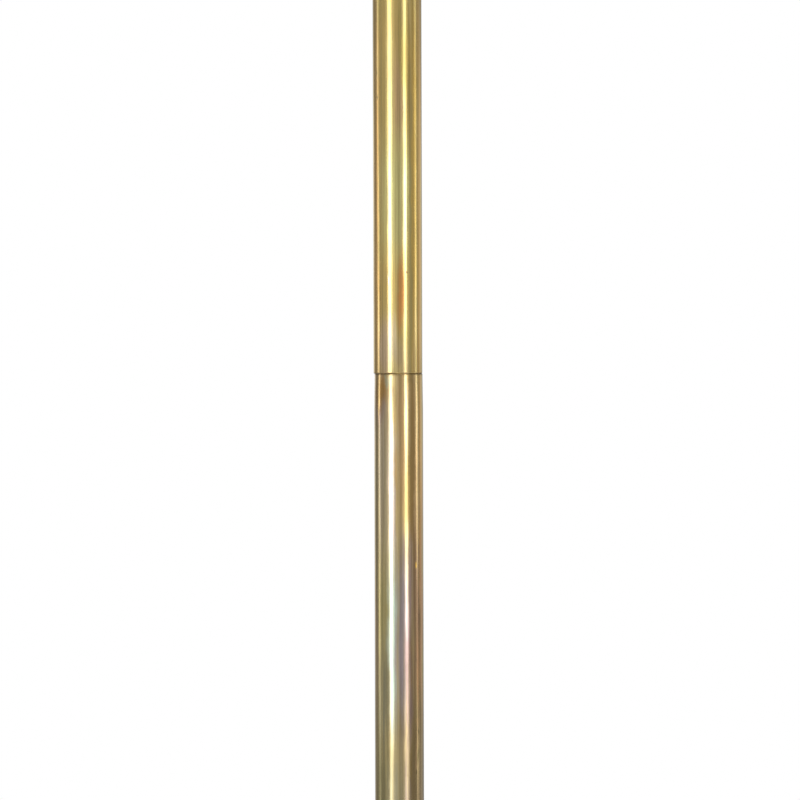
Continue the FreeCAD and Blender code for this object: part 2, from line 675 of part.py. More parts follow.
def guide_bush():
    bore = ROD_RADIUS + RUNNING
    foot = COLUMN_TOP - GUIDE_BUSH_LENGTH
    top = COLUMN_TOP + GUIDE_FLANGE
    bush = turned(
        (bore, foot), (COLUMN_BORE, foot), (COLUMN_BORE, COLUMN_TOP), (COLUMN_RADIUS, COLUMN_TOP),
        (COLUMN_RADIUS, top), (bore, top))
    return bush.cut(lock_way(LOCK_RADIUS + SLIP, HEAD_RADIUS))


save("foot_collar", foot_collar())
save("foot_plug", foot_plug())
save("column_lower", column_lower())
save("coupler_spigot", coupler_spigot())
save("coupler_socket", coupler_socket())
save("column_upper", column_upper())
save("column_head", column_head())
save("guide_bush", guide_bush())


# ---- lock: shoe, thumb screw and its knurled knob ------------------------------------------------------

def lock_shoe():
    """A short plug with a saddle that fits round the rod."""
    plug = along_minus_x(Part.makeCylinder(LOCK_RADIUS - RUNNING, SHOE_BACK), 0, LOCK_HEIGHT)
    saddle = drill(SHOE_FACE, LOCK_HEIGHT - 2 * LOCK_RADIUS, LOCK_HEIGHT + 2 * LOCK_RADIUS)
    return plug.cut(saddle)


def lock_screw():
    end = LOCK_KNOB_START + LOCK_KNOB_THICKNESS - KNOB_FACE
    return along_minus_x(pin(LOCK_RADIUS, SHOE_BACK, end, FINE_EDGE), 0, LOCK_HEIGHT)


def lock_knob():
    knob = knurled_knob(LOCK_KNOB_RADIUS, LOCK_KNOB_THICKNESS, LOCK_KNOB_COLLAR, LOCK_RADIUS,
                        LOCK_KNOB_FLUTES)
    return along_minus_x(knob, -LOCK_KNOB_START, LOCK_HEIGHT)


save("lock_shoe", lock_shoe())
save("lock_screw", lock_screw())
save("lock_knob", lock_knob())


# ---- rod, its foot bush and the swivel on its top ------------------------------------------------------

def rod():
    tube = ring(ROD_RADIUS, ROD_BORE, ROD_FOOT, ROD_TOP, FINE_EDGE)
    for height in CLIP_HEIGHTS:
        groove = ring(ROD_RADIUS + EDGE, ROD_RADIUS - CLIP_DEPTH, height, height + CLIP_THICKNESS)
        tube = tube.cut(groove)
    return tube


def rod_clips():
    """Two open snap rings in grooves near the rod's foot."""
    bore = ROD_RADIUS - CLIP_DEPTH
    found = []
    for height in CLIP_HEIGHTS:
        clip = ring(bore + CLIP_WIDTH, bore, height, height + CLIP_THICKNESS)
        gap = box_between((0, -CLIP_WIDTH, height), (COLUMN_RADIUS, CLIP_WIDTH, height + CLIP_THICKNESS))
        found.append(clip.cut(gap))
    return found


def rod_foot_bush():
    return ring(COLUMN_BORE - RUNNING, ROD_RADIUS + RUNNING, FOOT_BUSH_BOTTOM, FOOT_BUSH_TOP, EDGE)


def swivel_spindle():
    """A hollow spindle plugged in the rod's top, with a shoulder under the hub and a window for the wires."""
    foot = ROD_TOP - SPINDLE_PLUG
    spindle = turned(
        (SPINDLE_BORE, foot), (ROD_BORE - EDGE, foot), (ROD_BORE, foot + EDGE), (ROD_BORE, ROD_TOP),
        (HUB_FLAT - EDGE, ROD_TOP), (HUB_FLAT, ROD_TOP + EDGE), (HUB_FLAT, SHOULDER_TOP),
        (SPINDLE_RADIUS, SHOULDER_TOP), (SPINDLE_RADIUS, SPINDLE_TOP - EDGE),
        (SPINDLE_RADIUS - EDGE, SPINDLE_TOP), (SPINDLE_BORE, SPINDLE_TOP))
    window = box_between((0, -SPINDLE_BORE, ARM_HEIGHT - CORD_WINDOW),
                         (2 * SPINDLE_RADIUS, SPINDLE_BORE, ARM_HEIGHT + CORD_WINDOW))
    pin_hole = drill(STOP_PIN_RADIUS, SHOULDER_TOP - STOP_PIN_DEPTH, SHOULDER_TOP, STOP_PIN_CIRCLE)
    return spindle.cut(window).cut(pin_hole)


def swivel_stop_pin():
    top = HUB_BOTTOM + STOP_GROOVE_DEPTH - STOP_PIN_END_GAP
    stop = pin(STOP_PIN_RADIUS, SHOULDER_TOP - STOP_PIN_DEPTH, top, FINE_EDGE)
    stop.translate(Vector(STOP_PIN_CIRCLE, 0, 0))
    return stop


def swivel_lower_washer():
    washer = ring(HUB_FLAT, SPINDLE_RADIUS, SHOULDER_TOP, SHOULDER_TOP + WASHER)
    return washer.cut(drill(STOP_PIN_RADIUS, SHOULDER_TOP, HUB_BOTTOM, STOP_PIN_CIRCLE))


def swivel_upper_washer():
    return ring(HUB_FLAT, SPINDLE_RADIUS, HUB_TOP + END_PLAY, SPRING_BOTTOM)


def swivel_spring_washer():
    return ring(HUB_FLAT - SPRING_INSET, SPINDLE_RADIUS, SPRING_BOTTOM, CAP_BOTTOM)


def swivel_cap_nut():
    """The finial: a turned cap nut with a collar, a cove and a ball, bored blind for the spindle's thread."""
    collar = HUB_FLAT - CAP_COLLAR_INSET
    collar_top = CAP_BOTTOM + CAP_COLLAR
    neck = collar_top + CAP_COVE
    cove_edge = collar - EDGE
    cove_middle = (CAP_NECK + (cove_edge - CAP_NECK) * (1 - HALF_RIGHT), neck - CAP_COVE * HALF_RIGHT)
    ball_centre = neck + math.sqrt(CAP_BALL ** 2 - CAP_NECK ** 2)
    bore_end = SPINDLE_TOP + CAP_BORE_END
    return turned(
        (SPINDLE_RADIUS, CAP_BOTTOM), (collar - EDGE, CAP_BOTTOM), (collar, CAP_BOTTOM + EDGE),
        (collar, collar_top - EDGE), (cove_edge, collar_top), (cove_middle, (CAP_NECK, neck)),
        ((CAP_BALL, ball_centre), (0, ball_centre + CAP_BALL)), (0, bore_end), (SPINDLE_RADIUS, bore_end))


save("rod", rod())
save("rod_foot_bush", rod_foot_bush())
save("rod_clips", *rod_clips())
save("swivel_spindle", swivel_spindle())
save("swivel_stop_pin", swivel_stop_pin())
save("swivel_lower_washer", swivel_lower_washer())
save("swivel_upper_washer", swivel_upper_washer())
save("swivel_spring_washer", swivel_spring_washer())
save("swivel_cap_nut", swivel_cap_nut())


# ---- arm: ball hub, tube, fork -------------------------------------------------------------------------

def arm_hub():
    """A ball with two flats, bored for the spindle and the arm, with a groove that the stop pin runs in."""
    ball = Part.makeSphere(HUB_RADIUS, Vector(0, 0, ARM_HEIGHT))
    slab = box_between((-HUB_RADIUS, -HUB_RADIUS, HUB_BOTTOM), (HUB_RADIUS, HUB_RADIUS, HUB_TOP))
    hub = ball.common(slab).cut(drill(SPINDLE_RADIUS + RUNNING, HUB_BOTTOM, HUB_TOP))
    hub = hub.cut(along_x(Part.makeCylinder(ARM_RADIUS, HUB_RADIUS), ARM_START))
    hub = hub.cut(along_x(Part.makeCylinder(ARM_BORE, HUB_RADIUS), 0))
    return hub.cut(stop_groove())


def stop_groove():
    """The pin's groove in the hub's lower flat, all the way round but for a web opposite the arm."""
    half_width = STOP_PIN_RADIUS + STOP_GROOVE_GAP
    top = HUB_BOTTOM + STOP_GROOVE_DEPTH
    groove = ring(STOP_PIN_CIRCLE + half_width, STOP_PIN_CIRCLE - half_width, HUB_BOTTOM, top)
    pin_angle = math.degrees(math.asin(STOP_PIN_RADIUS / STOP_PIN_CIRCLE))
    web_angle = math.radians(180 - ARM_SWING - pin_angle - STOP_SLACK)
    reach = 2 * STOP_PIN_CIRCLE
    side = reach * math.tan(web_angle)
    web = prism([(0, 0), (-reach, side), (-reach, -side)], HUB_BOTTOM, top)
    return groove.cut(web)


def arm_tube():
    return along_x(ring(ARM_RADIUS, ARM_BORE, 0, ARM_END - ARM_START), ARM_START)


def arm_fork():
    """A turned plug and collar whose front is milled into two round-nosed ears."""
    end = FORK_PLUG + FORK_COLLAR
    turned_end = turned(
        (0, 0), (ARM_BORE - FORK_PLUG_LEAD, 0), (ARM_BORE, FORK_PLUG_LEAD), (ARM_BORE, FORK_PLUG),
        (FORK_COLLAR_RADIUS - EDGE, FORK_PLUG), (FORK_COLLAR_RADIUS, FORK_PLUG + EDGE),
        (FORK_COLLAR_RADIUS, end - EDGE), (FORK_COLLAR_RADIUS - EDGE, end), (0, end))
    body = along_x(turned_end, FORK_START)
    body = body.cut(along_x(Part.makeCylinder(ROLL_BORE, end), FORK_START))
    for low in (-EAR_OUTER, EAR_INNER):
        high = low + EAR_THICKNESS
        bar = box_between((FORK_FACE - EDGE, low, ARM_HEIGHT - EAR_RADIUS),
                          (PIVOT_X, high, ARM_HEIGHT + EAR_RADIUS))
        nose = along_minus_y(Part.makeCylinder(EAR_RADIUS, EAR_THICKNESS), PIVOT_X, high)
        body = body.fuse(bar).fuse(nose)
    hole = along_minus_y(Part.makeCylinder(PIVOT_RADIUS + RUNNING, 2 * EAR_OUTER), PIVOT_X, EAR_OUTER)
    return body.removeSplitter().cut(hole)


save("arm_hub", arm_hub())
save("arm_tube", arm_tube())
save("arm_fork", arm_fork())


# ---- knuckle: tongue with the hollow roll spindle, its washers and nut ---------------------------------

def tilt_tongue():
    """An eye between the fork's ears, a neck, a flange, and the hollow spindle that carries the cup."""
    eye = along_minus_y(Part.makeCylinder(EAR_RADIUS, TONGUE_THICKNESS), PIVOT_X, TONGUE_SIDE)
    neck = box_between((PIVOT_X, -TONGUE_SIDE, ARM_HEIGHT - TONGUE_NECK),
                       (FLANGE_X + EDGE, TONGUE_SIDE, ARM_HEIGHT + TONGUE_NECK))
    length = ROLL_END - FLANGE_X
    stem = turned(
        (0, 0), (TONGUE_FLANGE_RADIUS - EDGE, 0), (TONGUE_FLANGE_RADIUS, EDGE),
        (TONGUE_FLANGE_RADIUS, TONGUE_FLANGE), (ROLL_RADIUS, TONGUE_FLANGE), (ROLL_RADIUS, length - EDGE),
        (ROLL_RADIUS - EDGE, length), (0, length))
    body = eye.fuse(neck).fuse(along_x(stem, FLANGE_X)).removeSplitter()
    wire_start = PIVOT_X + EAR_RADIUS
    bore = along_x(Part.makeCylinder(ROLL_BORE, ROLL_END), wire_start)
    pivot = along_minus_y(Part.makeCylinder(PIVOT_RADIUS + SLIP, TONGUE_THICKNESS), PIVOT_X, TONGUE_SIDE)
    slot_side = ROLL_BORE - EDGE
    wire_slot = box_between((wire_start, -slot_side, ARM_HEIGHT - TONGUE_NECK),
                            (FLANGE_X, slot_side, ARM_HEIGHT))
    return body.cut(bore).cut(pivot).cut(wire_slot)


def tilt_washers():
    """Two fibre washers, one each side of the tongue's eye."""
    washer = ring(EAR_RADIUS - TONGUE_WASHER_INSET, PIVOT_RADIUS + SLIP, 0, TONGUE_WASHER)
    return [along_minus_y(washer, PIVOT_X, start) for start in (TONGUE_SIDE + TONGUE_WASHER, -TONGUE_SIDE)]


def roll_washers():
    """Two fibre washers that grip the cup's back wall from both sides."""
    washer = ring(TONGUE_FLANGE_RADIUS, ROLL_RADIUS, 0, WASHER)
    return [along_x(washer, start) for start in (FLANGE_X + TONGUE_FLANGE, ROLL_WASHER_X)]


def roll_nut():
    return along_x(hex_nut(ROLL_NUT_FLATS, ROLL_RADIUS, 0, ROLL_NUT), ROLL_NUT_X)


save("tilt_tongue", tilt_tongue())
save("tilt_washers", *tilt_washers())
save("roll_washers", *roll_washers())
save("roll_nut", roll_nut())


# ---- tilt clamp: washer, screw with a knurled knob, cap nut --------------------------------------------

def clamp_washer():
    washer = ring(EAR_RADIUS, PIVOT_RADIUS + RUNNING, 0, CLAMP_WASHER, FINE_EDGE)
    return along_minus_y(washer, PIVOT_X, -CLAMP_WASHER_START)


def clamp_screw():
    start = CLAMP_NUT_BORE_END - CLAMP_THREAD_END
    end = CLAMP_KNOB_START + CLAMP_KNOB_THICKNESS - KNOB_FACE
    return along_minus_y(pin(PIVOT_RADIUS, -start, end, FINE_EDGE), PIVOT_X)


def clamp_knob():
    knob = knurled_knob(CLAMP_KNOB_RADIUS, CLAMP_KNOB_THICKNESS, CLAMP_KNOB_COLLAR, PIVOT_RADIUS,
                        CLAMP_KNOB_FLUTES)
    return along_minus_y(knob, PIVOT_X, -CLAMP_KNOB_START)


def clamp_nut():
    """A round cap nut, fixed to the back ear, that the clamp screw runs in."""
    bore = PIVOT_RADIUS + RUNNING
    outer = EAR_RADIUS - CLAMP_NUT_INSET
    bore_end = CLAMP_NUT_BORE_END - EAR_OUTER
    blank = turned(
        (bore, 0), (outer, 0), (outer, CLAMP_NUT_SIDE),
        dome_step(outer, CLAMP_NUT_SIDE, CLAMP_NUT_THICKNESS), (0, bore_end), (bore, bore_end))
    return along_y(blank, PIVOT_X, EAR_OUTER, ARM_HEIGHT)


save("clamp_washer", clamp_washer())
save("clamp_screw", clamp_screw())
save("clamp_knob", clamp_knob())
save("clamp_nut", clamp_nut())


# ---- socket cup, lampholder and switch -----------------------------------------------------------------

def switch_way(radius, start=0.0):
    """A round way along -Y at the switch, from start to well past the cup."""
    return along_minus_y(Part.makeCylinder(radius, 2 * CUP_RADIUS), SWITCH_X, -start)


def socket_cup():
    """A spun cup with a round back, and a bead that the shade's back plate seats on."""
    bore = ROLL_RADIUS + RUNNING
    inner = CUP_RADIUS - CUP_WALL
    round_centre = (CUP_RADIUS - CUP_ROUND, CUP_ROUND)
    bead_at = CUP_BEHIND_SHADE - CUP_BEAD
    cup = turned(
        (bore, 0), (round_centre[0], 0), arc_step(round_centre, CUP_ROUND, -90, 0),
        (CUP_RADIUS, bead_at - CUP_BEAD), arc_step((CUP_RADIUS, bead_at), CUP_BEAD, -90, 90),
        (CUP_RADIUS, CUP_LENGTH), (inner, CUP_LENGTH), (inner, CUP_ROUND),
        arc_step(round_centre, CUP_ROUND - CUP_WALL, 0, -90), (bore, CUP_WALL))
    return along_x(cup, CUP_X).cut(switch_way(SWITCH_BUSH_RADIUS + SLIP))


def lamp_socket():
    """The porcelain body, open at the front for the bulb and solid round the switch at the back."""
    mouth = SHELL_RADIUS + SLIP
    shell_end = SOCKET_FLOOR + SHELL_LENGTH
    body = turned(
        (CONTACT_STEM, 0), (SOCKET_RADIUS - SOCKET_BACK_EDGE, 0), (SOCKET_RADIUS, SOCKET_BACK_EDGE),
        (SOCKET_RADIUS, SOCKET_LENGTH - EDGE), (SOCKET_RADIUS - EDGE, SOCKET_LENGTH), (mouth, SOCKET_LENGTH),
        (mouth, shell_end), (SHELL_RADIUS, shell_end), (SHELL_RADIUS, SOCKET_FLOOR),
        (CONTACT_STEM, SOCKET_FLOOR))
    return along_x(body, SOCKET_X).cut(switch_way(SWITCH_BUSH_RADIUS, SWITCH_ROOT))


def socket_shell():
    inner = SHELL_RADIUS - SHELL_WALL
    shell = turned(
        (SHELL_HOLE, 0), (SHELL_RADIUS, 0), (SHELL_RADIUS, SHELL_LENGTH), (inner, SHELL_LENGTH),
        (inner, SHELL_WALL), (SHELL_HOLE, SHELL_WALL))
    return along_x(shell, SOCKET_BORE_X)


def socket_contact():
    """The centre contact's rivet and its button, in the lampholder's floor."""
    button = turned(
        (0, -CONTACT_STEM_LENGTH), (CONTACT_STEM, -CONTACT_STEM_LENGTH), (CONTACT_STEM, 0),
        (CONTACT_RADIUS, 0), (CONTACT_RADIUS, CONTACT_RISE / 2), (CONTACT_STEM, CONTACT_RISE),
        (0, CONTACT_RISE))
    return along_x(button, SOCKET_BORE_X)


def switch_bush():
    bush = ring(SWITCH_BUSH_RADIUS, SWITCH_SHAFT_RADIUS + RUNNING, SWITCH_ROOT, SWITCH_BUSH_END, FINE_EDGE)
    return along_minus_y(bush, SWITCH_X)


def switch_nut():
    """A knurled ring nut whose underside follows the cup."""
    blank = fluted(SWITCH_NUT_RADIUS, SWITCH_NUT_FLUTE_DEPTH, SWITCH_NUT_FLUTES, 0, SWITCH_NUT_TOP)
    cup = along_x(Part.makeCylinder(CUP_RADIUS, CUP_LENGTH), CUP_X)
    return along_minus_y(blank, SWITCH_X).cut(cup).cut(switch_way(SWITCH_BUSH_RADIUS))


def switch_shaft():
    end = SWITCH_KNOB_START + SWITCH_KNOB_THICKNESS - KNOB_FACE
    return along_minus_y(pin(SWITCH_SHAFT_RADIUS, SWITCH_ROOT, end, FINE_EDGE), SWITCH_X)


def switch_knob():
    knob = knurled_knob(SWITCH_KNOB_RADIUS, SWITCH_KNOB_THICKNESS, SWITCH_KNOB_COLLAR, SWITCH_SHAFT_RADIUS,
                        SWITCH_KNOB_FLUTES)
    return along_minus_y(knob, SWITCH_X, -SWITCH_KNOB_START)


save("socket_cup", socket_cup())
save("lamp_socket", lamp_socket())
save("socket_shell", socket_shell())
save("socket_contact", socket_contact())
save("switch_bush", switch_bush())
save("switch_nut", switch_nut())
save("switch_shaft", switch_shaft())
save("switch_knob", switch_knob())


# ---- shade and its clamping ring -----------------------------------------------------------------------

def trough(inset, bottom):
    """The solid under a half-round trough set in by inset: straight skirts, round top, rounded end edges."""
    half = SHADE_HALF_WIDTH - inset
    spring = RIM + SHADE_SKIRT
    start = SHADE_X + inset
    length = SHADE_LENGTH - 2 * inset
    left_foot, left_spring = Vector(start, -half, bottom), Vector(start, -half, spring)
    right_foot, right_spring = Vector(start, half, bottom), Vector(start, half, spring)
    edges = [
        Part.LineSegment(left_foot, left_spring).toShape(),
        Part.Arc(left_spring, Vector(start, 0, spring + half), right_spring).toShape(),
        Part.LineSegment(right_spring, right_foot).toShape(),
        Part.LineSegment(right_foot, left_foot).toShape(),
    ]
    body = Part.Face(Part.Wire(edges)).extrude(Vector(length, 0, 0))
    end_edges = []
    for edge in body.Edges:
        box = edge.BoundBox
        in_end_plane = box.XLength < SHADE_WALL / 2
        above_foot = box.ZMax > bottom + SHADE_WALL / 2
        if in_end_plane and above_foot:
            end_edges.append(edge)
    return body.makeFillet(SHADE_ROUND - inset, end_edges)


def rim_bead():
    """The rolled edge: a round bead along the shade's rounded-rectangle mouth."""
    middle = SHADE_WALL / 2
    half = SHADE_HALF_WIDTH - middle
    corner = SHADE_ROUND - middle
    back, front = SHADE_X + middle, SHADE_END - middle
    cut_in = corner * (1 - HALF_RIGHT)

    def at(x, y):
        return Vector(x, y, RIM + SHADE_BEAD)

    runs = [
        (at(back + corner, -half), at(front - corner, -half), at(front - cut_in, cut_in - half)),
        (at(front, corner - half), at(front, half - corner), at(front - cut_in, half - cut_in)),
        (at(front - corner, half), at(back + corner, half), at(back + cut_in, half - cut_in)),
        (at(back, half - corner), at(back, corner - half), at(back + cut_in, cut_in - half)),
    ]
    edges = []
    for i, (start, end, round_middle) in enumerate(runs):
        next_start = runs[(i + 1) % len(runs)][0]
        edges.append(Part.LineSegment(start, end).toShape())
        edges.append(Part.Arc(end, round_middle, next_start).toShape())
    section = Part.Face(Part.Wire(Part.Circle(runs[0][0], X_AXIS, SHADE_BEAD).toShape()))
    return Part.Wire(edges).makePipe(section)


def vent_holes():
    """Two rows of round holes that let the heat out at the back of the crown."""
    first = SHADE_X + SHADE_ROUND + VENT_PITCH
    base = RIM + SHADE_SKIRT
    cutters = []
    for side in (-1, 1):
        for i in range(VENT_COUNT):
            place = Vector(first + i * VENT_PITCH, side * VENT_ROW_OFFSET, base)
            cutters.append(Part.makeCylinder(VENT_RADIUS, 2 * SHADE_HALF_WIDTH, place))
    return cutters


def shade():
    shell = trough(0.0, RIM + SHADE_BEAD).cut(trough(SHADE_WALL, RIM))
    shell = shell.fuse(rim_bead()).removeSplitter()
    shell = shell.cut(along_x(Part.makeCylinder(CUP_RADIUS, 2 * SHADE_WALL), SHADE_X - SHADE_WALL / 2))
    for hole in vent_holes():
        shell = shell.cut(hole)
    return shell


def shade_ring():
    """The threaded ring that clamps the shade's back plate against the cup's bead."""
    body = along_x(ring(RING_RADIUS, CUP_RADIUS, 0, RING_THICKNESS, EDGE), SHADE_X + SHADE_WALL)
    half = RING_NOTCH_WIDTH / 2
    for angle in (45, 135, 225, 315):
        notch = box_between((SHADE_X, -half, ARM_HEIGHT + RING_RADIUS - RING_NOTCH_DEPTH),
                            (SHADE_X + 2 * RING_THICKNESS, half, ARM_HEIGHT + 2 * RING_RADIUS))
        notch.rotate(Vector(0, 0, ARM_HEIGHT), X_AXIS, angle)
        body = body.cut(notch)
    return body


save("shade", shade())
save("shade_ring", shade_ring())


# ---- bulb: screw cap, glass tube, stem and filament ----------------------------------------------------

def bulb_cap():
    """The screw cap: an insulated nose with the tip contact, and a thin threaded shell."""
    floor = BULB_CAP_NOSE + BULB_CAP_WALL
    cap = turned(
        (0, 0), (BULB_CAP_TIP, 0), (BULB_CAP_TIP + 2 * BULB_CAP_WALL, BULB_CAP_NOSE / 3),
        (GLASS_NECK, 0.75 * BULB_CAP_NOSE), (BULB_CAP_RADIUS, BULB_CAP_NOSE),
        (BULB_CAP_RADIUS, BULB_CAP_LENGTH), (GLASS_NECK, BULB_CAP_LENGTH), (GLASS_NECK, floor), (0, floor))
    return along_x(cap, BULB_CAP_X)


def glass_skin(inset):
    """The bulb's solid outline set in by inset: a neck in the cap, a flare, a tube and a round end."""
    neck = GLASS_NECK - inset
    tube = BULB_RADIUS - inset
    foot = inset - GLASS_TUCK
    end_centre = BULB_LENGTH - BULB_RADIUS
    return turned(
        (0, foot), (neck, foot), (neck, 0.0), (tube, GLASS_FLARE), (tube, end_centre),
        ((tube * HALF_RIGHT, end_centre + tube * HALF_RIGHT), (0, end_centre + tube)))


def bulb_glass():
    return along_x(glass_skin(0.0).cut(glass_skin(BULB_WALL)), BULB_X)


def bulb_stem():
    foot = BULB_WALL - GLASS_TUCK
    stem = turned(
        (0, foot), (STEM_FLARE, foot), (STEM_RADIUS, foot + 1.5 * STEM_FLARE),
        (STEM_RADIUS, STEM_LENGTH - 2 * STEM_RADIUS), (STEM_BEAD, STEM_LENGTH - STEM_RADIUS),
        (STEM_RADIUS, STEM_LENGTH), (0, STEM_LENGTH))
    return along_x(stem, BULB_X)


def bulb_filament():
    """The filament's coil as one thin rod, between a short wire and a long one from the stem."""
    coil_start = STEM_LENGTH + FILAMENT_RISE
    coil_end = coil_start + FILAMENT_SPAN
    reach = FILAMENT_OFFSET + WIRE_RADIUS
    bridge_low = Vector(-reach, 0, STEM_LENGTH + WIRE_RADIUS)
    bridge_high = Vector(-FILAMENT_OFFSET, 0, coil_end - WIRE_RADIUS)
    pieces = [
        Part.makeCylinder(FILAMENT_RADIUS, FILAMENT_SPAN, Vector(FILAMENT_OFFSET, 0, coil_start)),
        Part.makeCylinder(WIRE_RADIUS, FILAMENT_RISE + WIRE_RADIUS, Vector(FILAMENT_OFFSET, 0, STEM_LENGTH)),
        Part.makeCylinder(WIRE_RADIUS, coil_end - STEM_LENGTH, Vector(-FILAMENT_OFFSET, 0, STEM_LENGTH)),
        Part.makeCylinder(WIRE_RADIUS, 2 * reach, bridge_low, X_AXIS),
        Part.makeCylinder(WIRE_RADIUS, 2 * FILAMENT_OFFSET, bridge_high, X_AXIS),
    ]
    whole = pieces[0].multiFuse(pieces[1:]).removeSplitter()
    return along_x(whole, BULB_X)


save("bulb_cap", bulb_cap())
save("bulb_glass", bulb_glass())
save("bulb_stem", bulb_stem())
save("bulb_filament", bulb_filament())

for name, shape in NODES.items():
    state = "valid" if shape.isValid() else "INVALID"
    print(name, len(shape.Solids), "solid", round(shape.Volume), "mm3", state)
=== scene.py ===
import math

import bmesh
import bpy
from mathutils import Matrix, Vector


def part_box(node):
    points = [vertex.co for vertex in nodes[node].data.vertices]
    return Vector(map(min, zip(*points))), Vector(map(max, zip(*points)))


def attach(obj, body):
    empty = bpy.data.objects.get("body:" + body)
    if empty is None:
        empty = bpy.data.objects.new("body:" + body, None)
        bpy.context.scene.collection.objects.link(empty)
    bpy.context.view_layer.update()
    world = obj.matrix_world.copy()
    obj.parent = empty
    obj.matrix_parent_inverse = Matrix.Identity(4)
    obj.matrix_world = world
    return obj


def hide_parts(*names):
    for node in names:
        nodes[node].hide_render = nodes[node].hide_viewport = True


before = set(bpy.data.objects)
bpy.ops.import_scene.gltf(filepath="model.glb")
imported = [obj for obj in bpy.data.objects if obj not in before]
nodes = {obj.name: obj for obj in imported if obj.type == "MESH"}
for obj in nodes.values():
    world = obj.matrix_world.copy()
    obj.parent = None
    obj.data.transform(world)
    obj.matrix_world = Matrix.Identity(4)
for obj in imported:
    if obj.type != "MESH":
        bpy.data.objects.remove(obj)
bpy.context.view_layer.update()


# ---- viewpoint -----------------------------------------------------------------------------------------
# The lamp is seen level and close, at the joint halfway up its column.
# A long lens keeps the tube's sides parallel, and the camera leans a little to one side.

joint_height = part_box("column_lower")[1].z

VIEW_DISTANCE = 2.0
VIEW_HEIGHT = 0.4165                 # stretch of column in view
JOINT_ABOVE_MIDDLE = 0.01375
COLUMN_LEFT_OF_MIDDLE = 0.00075
VIEW_LEAN = math.radians(0.15)

camera = bpy.data.objects.new("camera", bpy.data.cameras.new("camera"))
bpy.context.scene.collection.objects.link(camera)
camera.data.sensor_width = 36.0
camera.data.lens = camera.data.sensor_width * VIEW_DISTANCE / VIEW_HEIGHT
camera.location = (COLUMN_LEFT_OF_MIDDLE, -VIEW_DISTANCE, joint_height - JOINT_ABOVE_MIDDLE)
camera.rotation_euler = (math.radians(90), VIEW_LEAN, 0)
bpy.context.scene.camera = camera
bpy.context.scene.view_settings.view_transform = "Standard"


# ---- studio --------------------------------------------------------------------------------------------
# A white room lit by tall soft strips of light round the lamp, brightest at the height of the column.
# The strips stand at set angles from the viewpoint, so each one draws a line down the polished tube.

def add(tree, kind, sockets=None, **settings):
    """A new node of that kind: settings are its own options, sockets its inputs, as values or as links."""
    made = tree.nodes.new("ShaderNode" + kind)
    for option, value in settings.items():
        setattr(made, option, value)
    for socket, value in (sockets or {}).items():
        if isinstance(value, bpy.types.NodeSocket):
            tree.links.new(value, made.inputs[socket])
        else:
            made.inputs[socket].default_value = value
    return made


def math_node(tree, operation, *values):
    """A number worked out from one, two or three others."""
    return add(tree, "Math", dict(enumerate(values)), operation=operation).outputs[0]


def ramp_between(tree, value, start, end, low=0.0, high=1.0):
    """A smooth step from low at start to high at end."""
    sockets = {"Value": value, "From Min": start, "From Max": end, "To Min": low, "To Max": high}
    return add(tree, "MapRange", sockets, interpolation_type="SMOOTHSTEP").outputs[0]


# angle from the viewpoint, half width, softness (degrees), brightness
LIGHT_STRIPS = (
    (-37, 2, 10, 6.0),
    (-33, 6, 28, 0.45),
    (-14, 3, 20, 0.24),
    (-62, 4, 9, 0.14),
    (-104.5, 3, 5, 1.75),
    (36, 1, 9.5, 5.6),
    (34, 4, 22, 0.45),
    (95, 2, 5, 1.8),
    (140, 12, 12, 0.50),
    (-160, 8, 14, 0.9),
)
ROOM_FRONT = 0.56
ROOM_BACK = 0.30
ROOM_AWAY_FROM_EYE_LEVEL = 0.80
STRIPS_AWAY_FROM_EYE_LEVEL = 0.33
EYE_LEVEL_BELOW = (math.radians(-6.2), math.radians(0.3))
EYE_LEVEL_ABOVE = (math.radians(6.2), math.radians(3.4))
STRIP_LOW = math.radians(-16)
STRIP_HIGH = math.radians(42)
STRIP_FADE = math.radians(16)
SIDE_OF_ROOM = math.radians(95)
BACK_OF_ROOM = math.radians(150)

world = bpy.data.worlds.new("studio")
bpy.context.scene.world = world
world.use_nodes = True
room = world.node_tree
room.nodes.clear()
direction = add(room, "SeparateXYZ", {0: add(room, "TexCoord").outputs["Generated"]})
toward_view = math_node(room, "MULTIPLY", direction.outputs["Y"], -1.0)
azimuth = math_node(room, "ARCTAN2", direction.outputs["X"], toward_view)
elevation = math_node(room, "ARCSINE", direction.outputs["Z"])
away = math_node(room, "ABSOLUTE", azimuth)
glow = ramp_between(room, away, SIDE_OF_ROOM, BACK_OF_ROOM, ROOM_FRONT, ROOM_BACK)
strips = None
for centre, half, soft, brightness in LIGHT_STRIPS:
    off = math_node(room, "ABSOLUTE", math_node(room, "SUBTRACT", azimuth, math.radians(centre)))
    strip = ramp_between(room, off, math.radians(half + soft), math.radians(half), 0.0, brightness)
    strips = strip if strips is None else math_node(room, "ADD", strips, strip)
above_low = ramp_between(room, elevation, STRIP_LOW - STRIP_FADE, STRIP_LOW)
below_high = ramp_between(room, elevation, STRIP_HIGH + STRIP_FADE, STRIP_HIGH)
strips = math_node(room, "MULTIPLY", strips, math_node(room, "MULTIPLY", above_low, below_high))
eye_level = math_node(room, "MULTIPLY", ramp_between(room, elevation, *EYE_LEVEL_BELOW),
                      ramp_between(room, elevation, *EYE_LEVEL_ABOVE))
strips_here = ramp_between(room, eye_level, 0, 1, STRIPS_AWAY_FROM_EYE_LEVEL, 1)
strips = math_node(room, "MULTIPLY", strips, strips_here)
room_here = ramp_between(room, eye_level, 0, 1, ROOM_AWAY_FROM_EYE_LEVEL, 1)
glow = math_node(room, "MULTIPLY", glow, room_here)
seen_in_surfaces = add(room, "Background", {"Strength": math_node(room, "ADD", glow, strips)})
seen_directly = add(room, "Background", {"Color": (1, 1, 1, 1), "Strength": 1.0})
